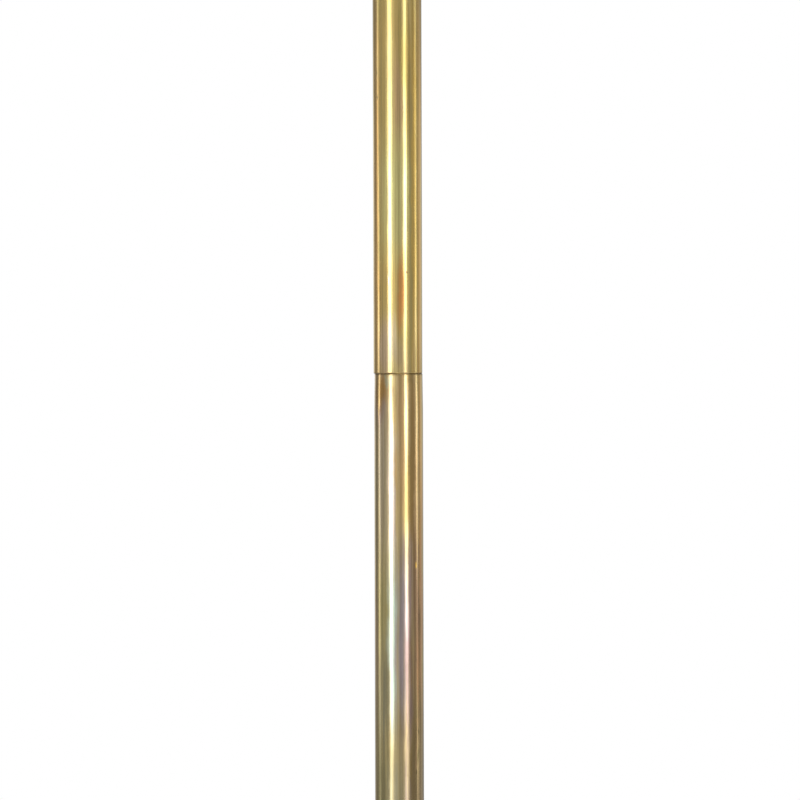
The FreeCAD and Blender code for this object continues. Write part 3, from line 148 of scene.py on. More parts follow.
which = add(room, "MixShader", {0: add(room, "LightPath").outputs["Is Camera Ray"],
                                1: seen_in_surfaces.outputs[0], 2: seen_directly.outputs[0]})
add(room, "OutputWorld", {0: which.outputs[0]})

# A large soft lamp overhead lights the floor and the tops of the pieces, and isn't seen itself.
OVERHEAD_PLACE = Vector((0.5, -0.9, 2.9))
OVERHEAD_AIM = Vector((0.1, 0, 0.6))
OVERHEAD_SIZE = (2.2, 1.6)
OVERHEAD_WATTS = 40

overhead = bpy.data.objects.new("overhead", bpy.data.lights.new("overhead", "AREA"))
bpy.context.scene.collection.objects.link(overhead)
overhead.data.shape = "RECTANGLE"
overhead.data.size, overhead.data.size_y = OVERHEAD_SIZE
overhead.data.energy = OVERHEAD_WATTS
overhead.location = OVERHEAD_PLACE
overhead.rotation_euler = (OVERHEAD_AIM - OVERHEAD_PLACE).to_track_quat("-Z", "Y").to_euler()
overhead.visible_camera = False

FLOOR_RADIUS = 1.25
FLOOR_FADE = 0.35
FLOOR_RIM = 0.02                     # wholly clear for this far in from the edge

floor_mesh = bmesh.new()
bmesh.ops.create_circle(floor_mesh, cap_ends=True, radius=FLOOR_RADIUS, segments=128)
floor = bpy.data.objects.new("floor", bpy.data.meshes.new("floor"))
floor_mesh.to_mesh(floor.data)
floor_mesh.free()
bpy.context.scene.collection.objects.link(floor)
pale = bpy.data.materials.new("pale_floor")
pale.use_nodes = True
tree = pale.node_tree
tree.nodes.clear()
spot = add(tree, "TexCoord").outputs["Object"]
far_out = add(tree, "VectorMath", {0: spot}, operation="LENGTH").outputs["Value"]
fade = ramp_between(tree, far_out, FLOOR_RADIUS - FLOOR_FADE, FLOOR_RADIUS - FLOOR_RIM)
paint = add(tree, "BsdfPrincipled", {"Base Color": (0.88, 0.88, 0.87, 1), "Roughness": 0.6})
clear = add(tree, "BsdfTransparent")
edge = add(tree, "MixShader", {0: fade, 1: paint.outputs[0], 2: clear.outputs[0]})
add(tree, "OutputMaterial", {0: edge.outputs[0]})
floor.data.materials.append(pale)


# ---- felt pad ------------------------------------------------------------------------------------------
# A disc of green wool felt, cut with a knife and glued under the base so that the iron doesn't scratch.
# Its cut edge is a little furry and its face has a loose nap.

def start_material(name):
    """A new material: itself, its node tree, its shader and the object's own coordinates."""
    material = bpy.data.materials.new(name)
    material.use_nodes = True
    tree = material.node_tree
    tree.nodes.clear()
    shader = add(tree, "BsdfPrincipled")
    add(tree, "OutputMaterial", {0: shader.outputs[0]})
    return material, tree, shader, add(tree, "TexCoord").outputs["Object"]


def noise(tree, place, scale, detail=3.0, rough=0.55, spread=(1, 1, 1)):
    """Noise of that many bumps a metre, squeezed along an axis by its share in spread."""
    stretched = add(tree, "VectorMath", {0: place, 1: spread}, operation="MULTIPLY").outputs[0]
    sockets = {"Vector": stretched, "Scale": scale, "Detail": detail, "Roughness": rough}
    return add(tree, "TexNoise", sockets).outputs[0]


def blend_colours(tree, share, first, second):
    """The first colour, with that share of the second laid over it."""
    sockets = {0: share, 6: first, 7: second}
    return add(tree, "Mix", sockets, data_type="RGBA").outputs[2]


def bump(tree, height, depth, under=None):
    """A surface raised by height, from 0 to 1, times a depth in metres, over any bumps already under it."""
    sockets = {"Height": height, "Distance": depth, "Strength": 1.0}
    if under is not None:
        sockets["Normal"] = under
    return add(tree, "Bump", sockets).outputs[0]


def put_in(shader, **values):
    """Sets the shader's inputs, as values or as links; an underscore stands for a space."""
    tree = shader.id_data
    for name, value in values.items():
        socket = shader.inputs[name.replace("_", " ")]
        if isinstance(value, bpy.types.NodeSocket):
            tree.links.new(value, socket)
        else:
            socket.default_value = value


def finish_nodes(material, *names):
    """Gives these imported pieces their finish."""
    for name in names:
        nodes[name].material_slots[0].material = material


def link_mesh(name, mesh):
    """Puts a finished mesh in the scene as an object of that name."""
    bmesh.ops.recalc_face_normals(mesh, faces=mesh.faces)
    piece = bpy.data.objects.new(name, bpy.data.meshes.new(name))
    mesh.to_mesh(piece.data)
    mesh.free()
    bpy.context.scene.collection.objects.link(piece)
    return piece


def lathe(name, outline, turns):
    """A closed ring turned about the lamp's upright axis from a closed outline of (radius, height) points."""
    mesh = bmesh.new()
    rings = []
    for k in range(turns):
        angle = 2 * math.pi * k / turns
        side = (math.cos(angle), math.sin(angle))
        rings.append([mesh.verts.new((r * side[0], r * side[1], h)) for r, h in outline])
    for k in range(turns):
        here, there = rings[k], rings[(k + 1) % turns]
        for i in range(len(outline)):
            j = (i + 1) % len(outline)
            mesh.faces.new((here[i], there[i], there[j], here[j])).smooth = True
    return link_mesh(name, mesh)


def fit(piece, material, body, slot, *stands_for):
    """Puts a made piece on the lamp: its finish, what it moves with and what it stands for."""
    piece.data.materials.append(material)
    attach(piece, body)
    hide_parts(*stands_for)
    return piece


felt, tree, shader, at = start_material("green_felt")
fibres = noise(tree, at, 2600, 6.0, 0.7)
clumps = noise(tree, at, 90, 4.0)
wool = blend_colours(tree, fibres, (0.012, 0.036, 0.016, 1), (0.045, 0.105, 0.05, 1))
wool = blend_colours(tree, ramp_between(tree, clumps, 0.45, 0.75, 0.0, 0.5), wool, (0.03, 0.055, 0.03, 1))
put_in(shader, Base_Color=wool, Roughness=0.95, Sheen_Weight=0.4, Sheen_Roughness=0.5,
       Normal=bump(tree, fibres, 0.0006))

PAD_EDGE = 0.0007                    # how far the cut edge bulges
PAD_CENTRE_HOLE = 0.0005
PAD_TURNS = 360
FRAY = 0.00025
EDGE_STEPS = 6

pad_low, pad_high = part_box("base_pad")
pad_radius = pad_high.x
middle_z = (pad_low.z + pad_high.z) / 2
half = (pad_high.z - pad_low.z) / 2
inner_radii = (PAD_CENTRE_HOLE, pad_radius * 0.5)
pad_outline = [(r, pad_low.z) for r in (*inner_radii, pad_radius - PAD_EDGE)]
for k in range(EDGE_STEPS + 1):
    turn = math.pi * (k / EDGE_STEPS - 0.5)
    pad_outline.append((pad_radius - PAD_EDGE + PAD_EDGE * math.cos(turn), middle_z + half * math.sin(turn)))
pad_outline += [(r, pad_high.z) for r in reversed(inner_radii)]
pad = lathe("felt_pad", pad_outline, PAD_TURNS)
for vertex in pad.data.vertices:
    reach = math.hypot(vertex.co.x, vertex.co.y)
    if reach > pad_radius - 2 * PAD_EDGE:
        angle = math.atan2(vertex.co.y, vertex.co.x)
        fray = FRAY * math.sin(57 * angle) * math.sin(23 * angle + 1.3) - FRAY
        vertex.co.x *= 1 + fray / reach
        vertex.co.y *= 1 + fray / reach
fit(pad, felt, "base", "felt", "base_pad")


# ---- iron weight and lamp pipe -------------------------------------------------------------------------
# The weight is a sand-cast iron disc, painted black. A short threaded steel pipe comes up through it,
# and a steel nut and washer in its recess pull the column down on the base.

iron, tree, shader, at = start_material("cast_iron")
sand = noise(tree, at, 900, 5.0, 0.65)
paint_wear = noise(tree, at, 60, 4.0)
black = blend_colours(tree, sand, (0.010, 0.010, 0.011, 1), (0.035, 0.034, 0.033, 1))
black = blend_colours(tree, ramp_between(tree, paint_wear, 0.58, 0.72), black, (0.07, 0.045, 0.03, 1))
put_in(shader, Base_Color=black, Roughness=ramp_between(tree, sand, 0.3, 0.8, 0.55, 0.85), Metallic=0.3,
       Normal=bump(tree, sand, 0.0007))
finish_nodes(iron, "base_weight")

steel, tree, shader, at = start_material("plated_steel")
tool_marks = noise(tree, at, 1800, 3.0, 0.6, (1, 1, 4))
clouding = noise(tree, at, 140, 3.0)
zinc = blend_colours(tree, clouding, (0.42, 0.43, 0.42, 1), (0.62, 0.62, 0.60, 1))
put_in(shader, Base_Color=zinc, Metallic=1.0, Roughness=ramp_between(tree, clouding, 0.3, 0.7, 0.24, 0.42),
       Normal=bump(tree, tool_marks, 0.00006))
finish_nodes(steel, "base_nipple", "base_nut", "base_washer")


# ---- base cover ----------------------------------------------------------------------------------------
# A thin sheet of brass spun over a form into a low dome with a step and a straight rim, then polished.
# It drops over the iron weight. Handling and years without lacquer have left cloudy brown-green tones.

GOLD = (0.80, 0.575, 0.235, 1)
GREEN_GOLD = (0.71, 0.61, 0.27, 1)
ROSE_BROWN = (0.66, 0.43, 0.22, 1)
OLD_BROWN = (0.30, 0.19, 0.085, 1)


def from_axis(tree, at, axis, centre):
    """How far along a turned piece's axis a point is, and how far out from it."""
    moved = add(tree, "VectorMath", {0: at, 1: centre}, operation="SUBTRACT").outputs[0]
    parts = add(tree, "SeparateXYZ", {0: moved})
    along = parts.outputs[axis]
    across = [parts.outputs[other] for other in "XYZ" if other != axis]
    squares = [math_node(tree, "MULTIPLY", side, side) for side in across]
    return along, math_node(tree, "SQRT", math_node(tree, "ADD", *squares))


def turned_brass(name, axis="Z", centre=(0, 0, 0), lines=1400, rough=0.20, edge=0.0006, age=0.5):
    """Brass shaped on a lathe: fine rings round its axis, cloudy tarnish, and edges rubbed bright."""
    material, tree, shader, at = start_material(name)
    along, out = from_axis(tree, at, axis, centre)
    groove = add(tree, "CombineXYZ", {0: along, 1: out}).outputs[0]
    rings = noise(tree, groove, lines, 2.0, 0.7)
    cloud = noise(tree, at, 16, 4.0, 0.6)
    patch = noise(tree, at, 41, 5.0, 0.65)
    fleck = noise(tree, at, 700, 2.0, 0.6)
    colour = blend_colours(tree, ramp_between(tree, cloud, 0.35, 0.65), GOLD, GREEN_GOLD)
    colour = blend_colours(tree, ramp_between(tree, patch, 0.46, 0.72, 0.0, age), colour, ROSE_BROWN)
    colour = blend_colours(tree, ramp_between(tree, fleck, 0.66, 0.74, 0.0, 0.55), colour, OLD_BROWN)
    worn = add(tree, "Bevel", {"Radius": edge}, samples=4).outputs[0]
    flat = add(tree, "NewGeometry").outputs["Normal"]
    turned = add(tree, "VectorMath", {0: worn, 1: flat}, operation="DOT_PRODUCT").outputs["Value"]
    rubbed = ramp_between(tree, turned, 0.985, 0.90, 0.0, 0.75)
    colour = blend_colours(tree, rubbed, colour, (0.86, 0.68, 0.30, 1))
    dull = ramp_between(tree, patch, 0.40, 0.75, rough, rough + 0.16)
    put_in(shader, Base_Color=colour, Metallic=1.0, Roughness=dull, Coat_Weight=0.12, Coat_Roughness=0.1,
           Normal=bump(tree, rings, 0.00003, bump(tree, cloud, 0.0006)))
    return material


spun_base = turned_brass("spun_base_brass", lines=900, rough=0.24, age=0.6)
finish_nodes(spun_base, "base_cover")


# ---- cable gland ---------------------------------------------------------------------------------------
# A black moulded bush pushed into the hole at the back of the rim, so that the metal can't cut a flex.
# It is a matt plastic with the faint grain of its mould.

plastic, tree, shader, at = start_material("moulded_black")
grain = noise(tree, at, 2400, 3.0)
scuff = noise(tree, at, 300, 4.0, 0.7)
dark = blend_colours(tree, scuff, (0.010, 0.010, 0.011, 1), (0.030, 0.030, 0.031, 1))
put_in(shader, Base_Color=dark, Roughness=ramp_between(tree, scuff, 0.3, 0.7, 0.38, 0.6),
       Normal=bump(tree, grain, 0.00008))
finish_nodes(plastic, "cable_gland")


# ---- foot collar ---------------------------------------------------------------------------------------
# A solid brass ring turned with a flange, a cove and a bead. It sits on the dome, holds the foot of
# the column, and hides the threaded plug that is soldered into the tube.

foot_brass = turned_brass("foot_collar_brass", lines=2200, rough=0.18, edge=0.0004)
finish_nodes(foot_brass, "foot_collar", "foot_plug", "coupler_spigot", "coupler_socket")


# ---- column --------------------------------------------------------------------------------------------
# Two lengths of one-inch drawn brass tube, screwed together on a hidden coupler. The upper one has
# stayed yellow; the lower one has the oil-slick browns, olives and violets of brass that was handled.

TUBE_WALL = 0.0012
END_ROUND = 0.0005
NECK_DROP = 0.00022
NECK_LENGTH = 0.022
CORNER_STEPS = 6
NECK_STEPS = 12
TUBE_BANDS = 12
TUBE_TURNS = 256
HIDDEN_END_ROUND = 0.0002
LOCK_WAY_SLIP = 0.00016              # gap round the lock shoe in the upper tube's cross hole
UPPER_TUBE_OFFSET = -0.0003          # the screwed joint lets the upper tube sit a hair to one side


def tube_outline(radius, wall, low, high, round_low, round_high, neck=0.0, rings=()):
    """A tube's wall as (radius, height) points, with rounded outer edges and, at the top, a slight neck."""
    inner = radius - wall
    points = [(inner, high), (inner, (low + high) / 2), (inner, low)]
    for k in range(CORNER_STEPS + 1):
        turn = math.radians(90 * k / CORNER_STEPS)
        points.append((radius - round_low + round_low * math.sin(turn),
                       low + round_low - round_low * math.cos(turn)))
    straight = high - (NECK_LENGTH if neck else round_high)
    heights = [low + (straight - low) * k / TUBE_BANDS for k in range(1, TUBE_BANDS + 1)]
    points += [(radius, height) for height in sorted([*heights, *rings])]
    if neck:
        for k in range(1, NECK_STEPS):
            share = k / NECK_STEPS
            sunk = neck * (3 * share ** 2 - 2 * share ** 3)
            points.append((radius - sunk, straight + (high - round_high - straight) * share))
    for k in range(CORNER_STEPS + 1):
        turn = math.radians(90 * k / CORNER_STEPS)
        points.append((radius - neck - round_high + round_high * math.cos(turn),
                       high - round_high + round_high * math.sin(turn)))
    return points


def bore_across(piece, place, radius, reach):
    """Bores a round way through a piece along X, centred on place."""
    cutter = bmesh.new()
    matrix = Matrix.Translation(place) @ Matrix.Rotation(math.radians(90), 4, "Y")
    bmesh.ops.create_cone(cutter, cap_ends=True, segments=48, radius1=radius, radius2=radius, depth=reach,
                          matrix=matrix)
    drill = link_mesh("drill", cutter)
    cut = piece.modifiers.new("bore", "BOOLEAN")
    cut.object = drill
    cut.solver = "EXACT"
    bpy.context.view_layer.update()
    whole = piece.data
    piece.data = bpy.data.meshes.new_from_object(piece.evaluated_get(bpy.context.evaluated_depsgraph_get()))
    piece.modifiers.clear()
    bpy.data.meshes.remove(whole)
    bpy.data.objects.remove(drill)


# The tarnish of the tubes, as soft patches, each with its angle round the tube from the front (degrees),
# height above the joint (millimetres), half width of each, colour, and how much of it shows. Later ones
# lie over earlier ones.
PATCH_REACH = 1.5                    # a patch has faded out this many half widths from its middle
UPPER_TARNISH = (
    (0, 170, 75, 22, (0.80, 0.57, 0.20), 0.7),
    (4, 142, 14, 26, (0.74, 0.50, 0.25), 0.85),
    (30, 150, 12, 30, (0.62, 0.44, 0.13), 0.8),
    (17, 176, 9, 38, (0.60, 0.46, 0.14), 0.85),
    (-4, 92, 42, 32, (0.80, 0.74, 0.31), 0.85),
    (9, 43, 8, 17, (0.90, 0.42, 0.12), 1.0),
    (-30, 12, 30, 14, (0.82, 0.60, 0.40), 0.9),
    (10, 6, 26, 12, (0.80, 0.60, 0.32), 0.8),
    (-7, 14, 8, 16, (0.92, 0.74, 0.46), 0.8),
    (-60, 90, 12, 150, (0.80, 0.47, 0.16), 0.8),
    (32, 60, 6, 60, (0.56, 0.45, 0.17), 0.7),
    (42, 110, 8, 110, (0.84, 0.56, 0.13), 0.85),
    (64, 60, 9, 160, (0.92, 0.56, 0.18), 0.8),
    (150, 100, 60, 60, (0.70, 0.60, 0.26), 0.8),
    (110, 240, 50, 70, (0.70, 0.46, 0.22), 0.8),
    (-120, 290, 60, 60, (0.70, 0.60, 0.26), 0.7),
    (20, 300, 60, 50, (0.72, 0.62, 0.25), 0.7),
    (-40, 360, 50, 40, (0.62, 0.42, 0.20), 0.8),
    (-4, 3, 16, 5, (0.98, 0.76, 0.32), 0.8),
    (-56, 6, 5, 26, (0.92, 0.67, 0.30), 0.8),
    (46, 6, 6, 22, (0.98, 0.68, 0.25), 0.8),
    (20, 51, 2.5, 0.7, (0.22, 0.13, 0.05), 0.9),
    (-28, 45, 1.6, 3.2, (0.92, 0.80, 0.46), 0.8),
    (-56, 157, 3, 2.2, (0.30, 0.20, 0.08), 0.8),
    (-56, 142, 3, 1.2, (0.30, 0.20, 0.08), 0.8),
)
LOWER_TARNISH = (
    (-20, -24, 60, 26, (0.58, 0.42, 0.24), 0.9),
    (-60, -17, 12, 20, (0.42, 0.29, 0.16), 0.9),
    (-44, -17, 9, 22, (0.62, 0.46, 0.32), 0.8),
    (-30, -2.5, 12, 3.4, (0.46, 0.46, 0.33), 0.8),
    (-48, -5, 14, 5, (0.70, 0.42, 0.15), 0.9),
    (-8, -4, 8, 6, (0.86, 0.68, 0.38), 0.8),
    (36, -2, 14, 3, (0.36, 0.28, 0.14), 0.7),
    (-33, -62, 20, 44, (0.60, 0.50, 0.33), 0.9),
    (-62, -80, 10, 80, (0.42, 0.34, 0.18), 0.8),
    (-46, -60, 9, 60, (0.58, 0.48, 0.33), 0.8),
    (-16, -64, 9, 40, (0.84, 0.66, 0.56), 0.95),
    (6, -40, 12, 44, (0.78, 0.50, 0.22), 0.9),
    (18, -16, 8, 26, (0.78, 0.56, 0.30), 0.8),
    (34, -46, 12, 60, (0.50, 0.30, 0.10), 0.9),
    (46, -70, 7, 90, (0.86, 0.58, 0.28), 0.85),
    (62, -60, 8, 70, (0.84, 0.46, 0.13), 0.85),
    (-40, -135, 22, 42, (0.52, 0.46, 0.20), 0.9),
    (-16, -142, 15, 46, (0.62, 0.72, 0.60), 1.0),
    (6, -138, 14, 52, (0.50, 0.41, 0.40), 1.0),
    (24, -138, 9, 50, (0.52, 0.37, 0.35), 1.0),
    (42, -132, 16, 52, (0.36, 0.21, 0.13), 0.95),
    (64, -135, 8, 60, (0.78, 0.42, 0.22), 0.85),
    (-38, -220, 24, 34, (0.36, 0.32, 0.17), 0.9),
    (-8, -224, 22, 28, (0.52, 0.47, 0.30), 0.85),
    (22, -214, 12, 24, (0.38, 0.29, 0.24), 0.85),
    (46, -206, 20, 40, (0.29, 0.20, 0.09), 0.9),
    (-60, -206, 14, 50, (0.34, 0.30, 0.15), 0.8),
    (-66, -150, 6, 36, (0.36, 0.24, 0.18), 0.8),
    (-42, -168, 16, 26, (0.38, 0.36, 0.24), 0.8),
    (26, -170, 9, 28, (0.38, 0.26, 0.22), 0.85),
    (50, -170, 6, 34, (0.62, 0.34, 0.16), 0.7),
    (58, -206, 10, 42, (0.56, 0.38, 0.17), 0.9),
    (150, -80, 60, 60, (0.50, 0.42, 0.22), 0.8),
    (-130, -150, 50, 80, (0.52, 0.38, 0.28), 0.8),
    (120, -220, 60, 60, (0.48, 0.40, 0.36), 0.7),
    (10, -320, 70, 60, (0.54, 0.42, 0.20), 0.8),
    (-90, -350, 60, 60, (0.46, 0.34, 0.18), 0.8),
    (-50, -18, 16, 8, (0.48, 0.33, 0.27), 0.7),
    (-48, -9, 20, 8, (0.50, 0.26, 0.06), 0.85),
    (-51, -10, 3, 14, (0.88, 0.62, 0.26), 0.9),
    (-10, -16, 6, 22, (0.82, 0.60, 0.26), 0.75),
    (42, -101, 3, 1.6, (0.95, 0.58, 0.12), 1.0),
    (49, -187, 2, 2.4, (0.14, 0.09, 0.04), 0.9),
    (51, -197, 2.4, 3, (0.14, 0.09, 0.04), 0.9),
    (47, -205, 1.6, 2, (0.14, 0.09, 0.04), 0.9),
    (21, -207, 2, 0.8, (0.16, 0.10, 0.05), 0.9),
)
# Colour of the dark line at the joint: dirt in the seam, and painted shade of the groove between the two
# tubes.
SEAM_DIRT_AND_SHADE = (0.20, 0.14, 0.06, 1)
SEAM_DIRT_AND_SHADE_BAND = (0.0009, 0.0003)   # from the joint: where the dirt and painted shade start, and where they are full


def drawn_brass(name, ground, patches, rough, foot=(0, 0, joint_height), lying=False):
    """Drawn tube, upright or lying along X: fine lines along its length and soft coloured tarnish."""
    material, tree, shader, at = start_material(name)
    at = add(tree, "VectorMath", {0: at, 1: foot}, operation="SUBTRACT").outputs[0]
    if lying:
        parts = add(tree, "SeparateXYZ", {0: at}).outputs
        at = add(tree, "CombineXYZ", {0: parts["Z"], 1: parts["Y"], 2: parts["X"]}).outputs[0]
    parts = add(tree, "SeparateXYZ", {0: at}).outputs
    front = math_node(tree, "MULTIPLY", parts["Y"], -1.0)
    angle = math_node(tree, "ARCTAN2", parts["X"], front)
    height = parts["Z"]
    long_lines = noise(tree, at, 1500, 2.0, 0.6, (1, 1, 0.012))
    wide_lines = noise(tree, at, 420, 3.0, 0.6, (1, 1, 0.02))
    waver = noise(tree, at, 110, 2.0, 0.5, (1, 1, 0.22))
    speckle = noise(tree, at, 1900, 2.0, 0.5)
    sway = noise(tree, at, 60, 3.0, 0.6, (1, 1, 0.5))
    ripple = noise(tree, at, 260, 3.0, 0.6, (1, 1, 0.06))
    shift = math_node(tree, "ADD", math_node(tree, "MULTIPLY_ADD", sway, 0.5, -0.25),
                      math_node(tree, "MULTIPLY_ADD", ripple, 0.3, -0.15))
    spot = add(tree, "CombineXYZ", {0: math_node(tree, "ADD", angle, shift),
                                    1: math_node(tree, "MULTIPLY_ADD", shift, 0.04, height)}).outputs[0]
    colour = blend_colours(tree, ramp_between(tree, sway, 0.38, 0.66, 0.0, 0.5), ground,
                           (0.74, 0.60, 0.22, 1))
    for turn, rise, turn_half, rise_half, tone, share in patches:
        middle = (math.radians(turn), rise / 1000, 0)
        size = (1 / math.radians(turn_half * PATCH_REACH), 1000 / (rise_half * PATCH_REACH), 1)
        moved = add(tree, "VectorMath", {0: spot, 1: middle}, operation="SUBTRACT").outputs[0]
        scaled = add(tree, "VectorMath", {0: moved, 1: size}, operation="MULTIPLY").outputs[0]
        reach = add(tree, "VectorMath", {0: scaled}, operation="LENGTH").outputs["Value"]
        colour = blend_colours(tree, ramp_between(tree, reach, 1.0, 0.25, 0.0, share), colour, (*tone, 1))
    colour = blend_colours(tree, ramp_between(tree, long_lines, 0.38, 0.66, 0.0, 0.40), colour,
                           (0.40, 0.30, 0.12, 1))
    colour = blend_colours(tree, ramp_between(tree, wide_lines, 0.50, 0.64, 0.0, 0.34), colour,
                           (0.90, 0.72, 0.34, 1))
    colour = blend_colours(tree, ramp_between(tree, speckle, 0.72, 0.80, 0.0, 0.5), colour, OLD_BROWN)
    # A dark band along the joint, wavering a little: partly dirt, partly painted shade of the groove.
    from_joint = math_node(tree, "ABSOLUTE", math_node(tree, "MULTIPLY_ADD", ripple, 0.0004, height))
    seam_dirt_and_shade = ramp_between(tree, from_joint, *SEAM_DIRT_AND_SHADE_BAND, 0.0, 0.45)
    colour = blend_colours(tree, seam_dirt_and_shade, colour, SEAM_DIRT_AND_SHADE)
    put_in(shader, Base_Color=colour, Metallic=1.0, Coat_Weight=0.25, Coat_Roughness=0.06,
           Roughness=ramp_between(tree, sway, 0.35, 0.70, rough, rough + 0.06),
           Normal=bump(tree, long_lines, 0.000012,
                       bump(tree, wide_lines, 0.00003, bump(tree, waver, 0.00018))))
    return material


upper_brass = drawn_brass("upper_tube_brass", (0.80, 0.58, 0.20, 1), UPPER_TARNISH, 0.17)
lower_brass = drawn_brass("lower_tube_brass", (0.64, 0.46, 0.20, 1), LOWER_TARNISH, 0.18)

low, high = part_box("column_lower")
lower_outline = tube_outline(high.x, TUBE_WALL, low.z, high.z, HIDDEN_END_ROUND, END_ROUND, NECK_DROP)
lower_tube = lathe("lower_tube", lower_outline, TUBE_TURNS)
fit(lower_tube, lower_brass, "base", "column_brass", "column_lower")

low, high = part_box("column_upper")
shoe_low, shoe_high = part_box("lock_shoe")
lock_height = (shoe_low.z + shoe_high.z) / 2
lock_way = (shoe_high.z - shoe_low.z) / 2 + LOCK_WAY_SLIP
clear_of_way = (lock_height - 2 * lock_way, lock_height + 2 * lock_way)
upper_outline = tube_outline(high.x, TUBE_WALL, low.z, high.z, END_ROUND, HIDDEN_END_ROUND,
                             rings=clear_of_way)
upper_tube = lathe("upper_tube", upper_outline, TUBE_TURNS)
upper_tube.location.x = UPPER_TUBE_OFFSET
bore_across(upper_tube, (-high.x, 0, lock_height), lock_way, high.x)
fit(upper_tube, upper_brass, "base", "column_brass", "column_upper")


# ---- column head and guide bushes ----------------------------------------------------------------------
# A brass cap turned from bar and pressed over the column's top, with a boss for the thumb screw.
# A nylon bush inside it guides the rod; the grease of years has yellowed it.

head_brass = turned_brass("column_head_brass", lines=2000, rough=0.17, edge=0.0004)
finish_nodes(head_brass, "column_head")

nylon, tree, shader, at = start_material("nylon")
flow = noise(tree, at, 220, 4.0)
rub = noise(tree, at, 1300, 3.0, 0.6, (1, 1, 0.05))
ivory = blend_colours(tree, flow, (0.60, 0.55, 0.43, 1), (0.76, 0.71, 0.60, 1))
ivory = blend_colours(tree, ramp_between(tree, rub, 0.6, 0.75, 0.0, 0.4), ivory, (0.36, 0.29, 0.17, 1))
put_in(shader, Base_Color=ivory, Roughness=ramp_between(tree, flow, 0.3, 0.7, 0.35, 0.55),
       Normal=bump(tree, rub, 0.00004))
finish_nodes(nylon, "guide_bush", "rod_foot_bush")


# ---- lock ----------------------------------------------------------------------------------------------
# A short brass shoe with a hollow face bears on the rod. The thumb screw behind it is threaded through
# the boss, and its knob has straight flutes rolled into the rim.

lock_brass = turned_brass("lock_brass", "X", (0, 0, lock_height), lines=2400, rough=0.16, edge=0.0003)
finish_nodes(lock_brass, "lock_shoe", "lock_screw", "lock_knob")


# ---- rod -----------------------------------------------------------------------------------------------
# A five-eighths drawn brass tube that slides and turns in the column. Its foot bush sits between two
# steel snap rings sprung into grooves.

ROD_TARNISH = (
    (20, 425, 70, 26, (0.70, 0.46, 0.21), 0.75),
    (-50, 470, 60, 34, (0.72, 0.66, 0.26), 0.75),
    (120, 480, 60, 44, (0.60, 0.42, 0.22), 0.75),
    (15, 530, 50, 26, (0.82, 0.50, 0.18), 0.7),
    (-150, 520, 60, 34, (0.66, 0.58, 0.26), 0.75),
)
rod_brass = drawn_brass("rod_brass", (0.78, 0.57, 0.20, 1), ROD_TARNISH, 0.17)
finish_nodes(rod_brass, "rod")
finish_nodes(steel, "rod_clips")


# ---- swivel --------------------------------------------------------------------------------------------
# A hollow brass spindle soldered in the rod's top carries the arm. Red fibre washers let the hub turn,
# a steel spring washer keeps them nipped, and a turned finial screws down on the lot.

swivel_brass = turned_brass("swivel_brass", lines=2400, rough=0.15, edge=0.0003, age=0.45)
finish_nodes(swivel_brass, "swivel_spindle", "swivel_cap_nut")
finish_nodes(steel, "swivel_stop_pin", "swivel_spring_washer")

fibre, tree, shader, at = start_material("red_fibre")
pressed = noise(tree, at, 2200, 5.0, 0.7)
stain = noise(tree, at, 350, 3.0)
red = blend_colours(tree, pressed, (0.13, 0.030, 0.020, 1), (0.26, 0.075, 0.045, 1))
red = blend_colours(tree, ramp_between(tree, stain, 0.5, 0.7, 0.0, 0.6), red, (0.06, 0.03, 0.02, 1))
put_in(shader, Base_Color=red, Roughness=0.7, Normal=bump(tree, pressed, 0.00006))
finish_nodes(fibre, "swivel_lower_washer", "swivel_upper_washer")


# ---- arm -----------------------------------------------------------------------------------------------
# A brass ball, faced flat where it meets the washers, is soldered on half-inch drawn tube. The fork at
# the tube's other end is turned, then milled into two round-nosed ears.

arm_low, arm_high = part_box("arm_tube")
arm_height = (arm_low.z + arm_high.z) / 2
hub_brass = turned_brass("arm_hub_brass", lines=1800, rough=0.15, edge=0.0004)
finish_nodes(hub_brass, "arm_hub")

ARM_TARNISH = (
    (0, 40, 80, 22, (0.66, 0.44, 0.21), 0.75),
    (120, 80, 60, 34, (0.74, 0.66, 0.26), 0.75),
    (-90, 110, 70, 30, (0.62, 0.44, 0.24), 0.75),
    (30, 150, 70, 26, (0.82, 0.52, 0.19), 0.7),
    (180, 165, 60, 26, (0.58, 0.48, 0.22), 0.75),
)
arm_brass = drawn_brass("arm_brass", (0.78, 0.57, 0.20, 1), ARM_TARNISH, 0.17, (0, 0, arm_height), True)
finish_nodes(arm_brass, "arm_tube")

fork_brass = turned_brass("fork_brass", "X", (0, 0, arm_height), lines=2200, rough=0.17, edge=0.0004)
finish_nodes(fork_brass, "arm_fork")


# ---- knuckle -------------------------------------------------------------------------------------------
# The tongue between the fork's ears is one brass turning: an eye, a flange and a hollow spindle that
# the shade rolls on. Fibre washers stop it galling, and a thin hexagon nut holds the cup on it.

tongue_brass = turned_brass("tongue_brass", "X", (0, 0, arm_height), lines=2200, rough=0.18, edge=0.0003)
finish_nodes(tongue_brass, "tilt_tongue", "roll_nut")
finish_nodes(fibre, "tilt_washers", "roll_washers")


# ---- tilt clamp ----------------------------------------------------------------------------------------
# A screw with a fluted knob goes across the fork into a round cap nut on the far ear, and pinches the
# ears on the tongue. A loose brass washer under the knob saves the ear's polish.

knob_low, knob_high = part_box("clamp_knob")
pivot = ((knob_low.x + knob_high.x) / 2, 0, arm_height)
clamp_brass = turned_brass("clamp_brass", "Y", pivot, lines=2400, rough=0.16, edge=0.0003)
finish_nodes(clamp_brass, "clamp_washer", "clamp_screw", "clamp_knob", "clamp_nut")


# ---- socket cup and lampholder -------------------------------------------------------------------------
# The cup is spun from sheet brass with a bead for the shade to seat on. It holds a glazed porcelain
# lampholder, whose screw shell and centre contact are nickelled brass.

cup_brass = turned_brass("cup_brass", "X", (0, 0, arm_height), lines=1100, rough=0.19, edge=0.0005)
finish_nodes(cup_brass, "socket_cup")

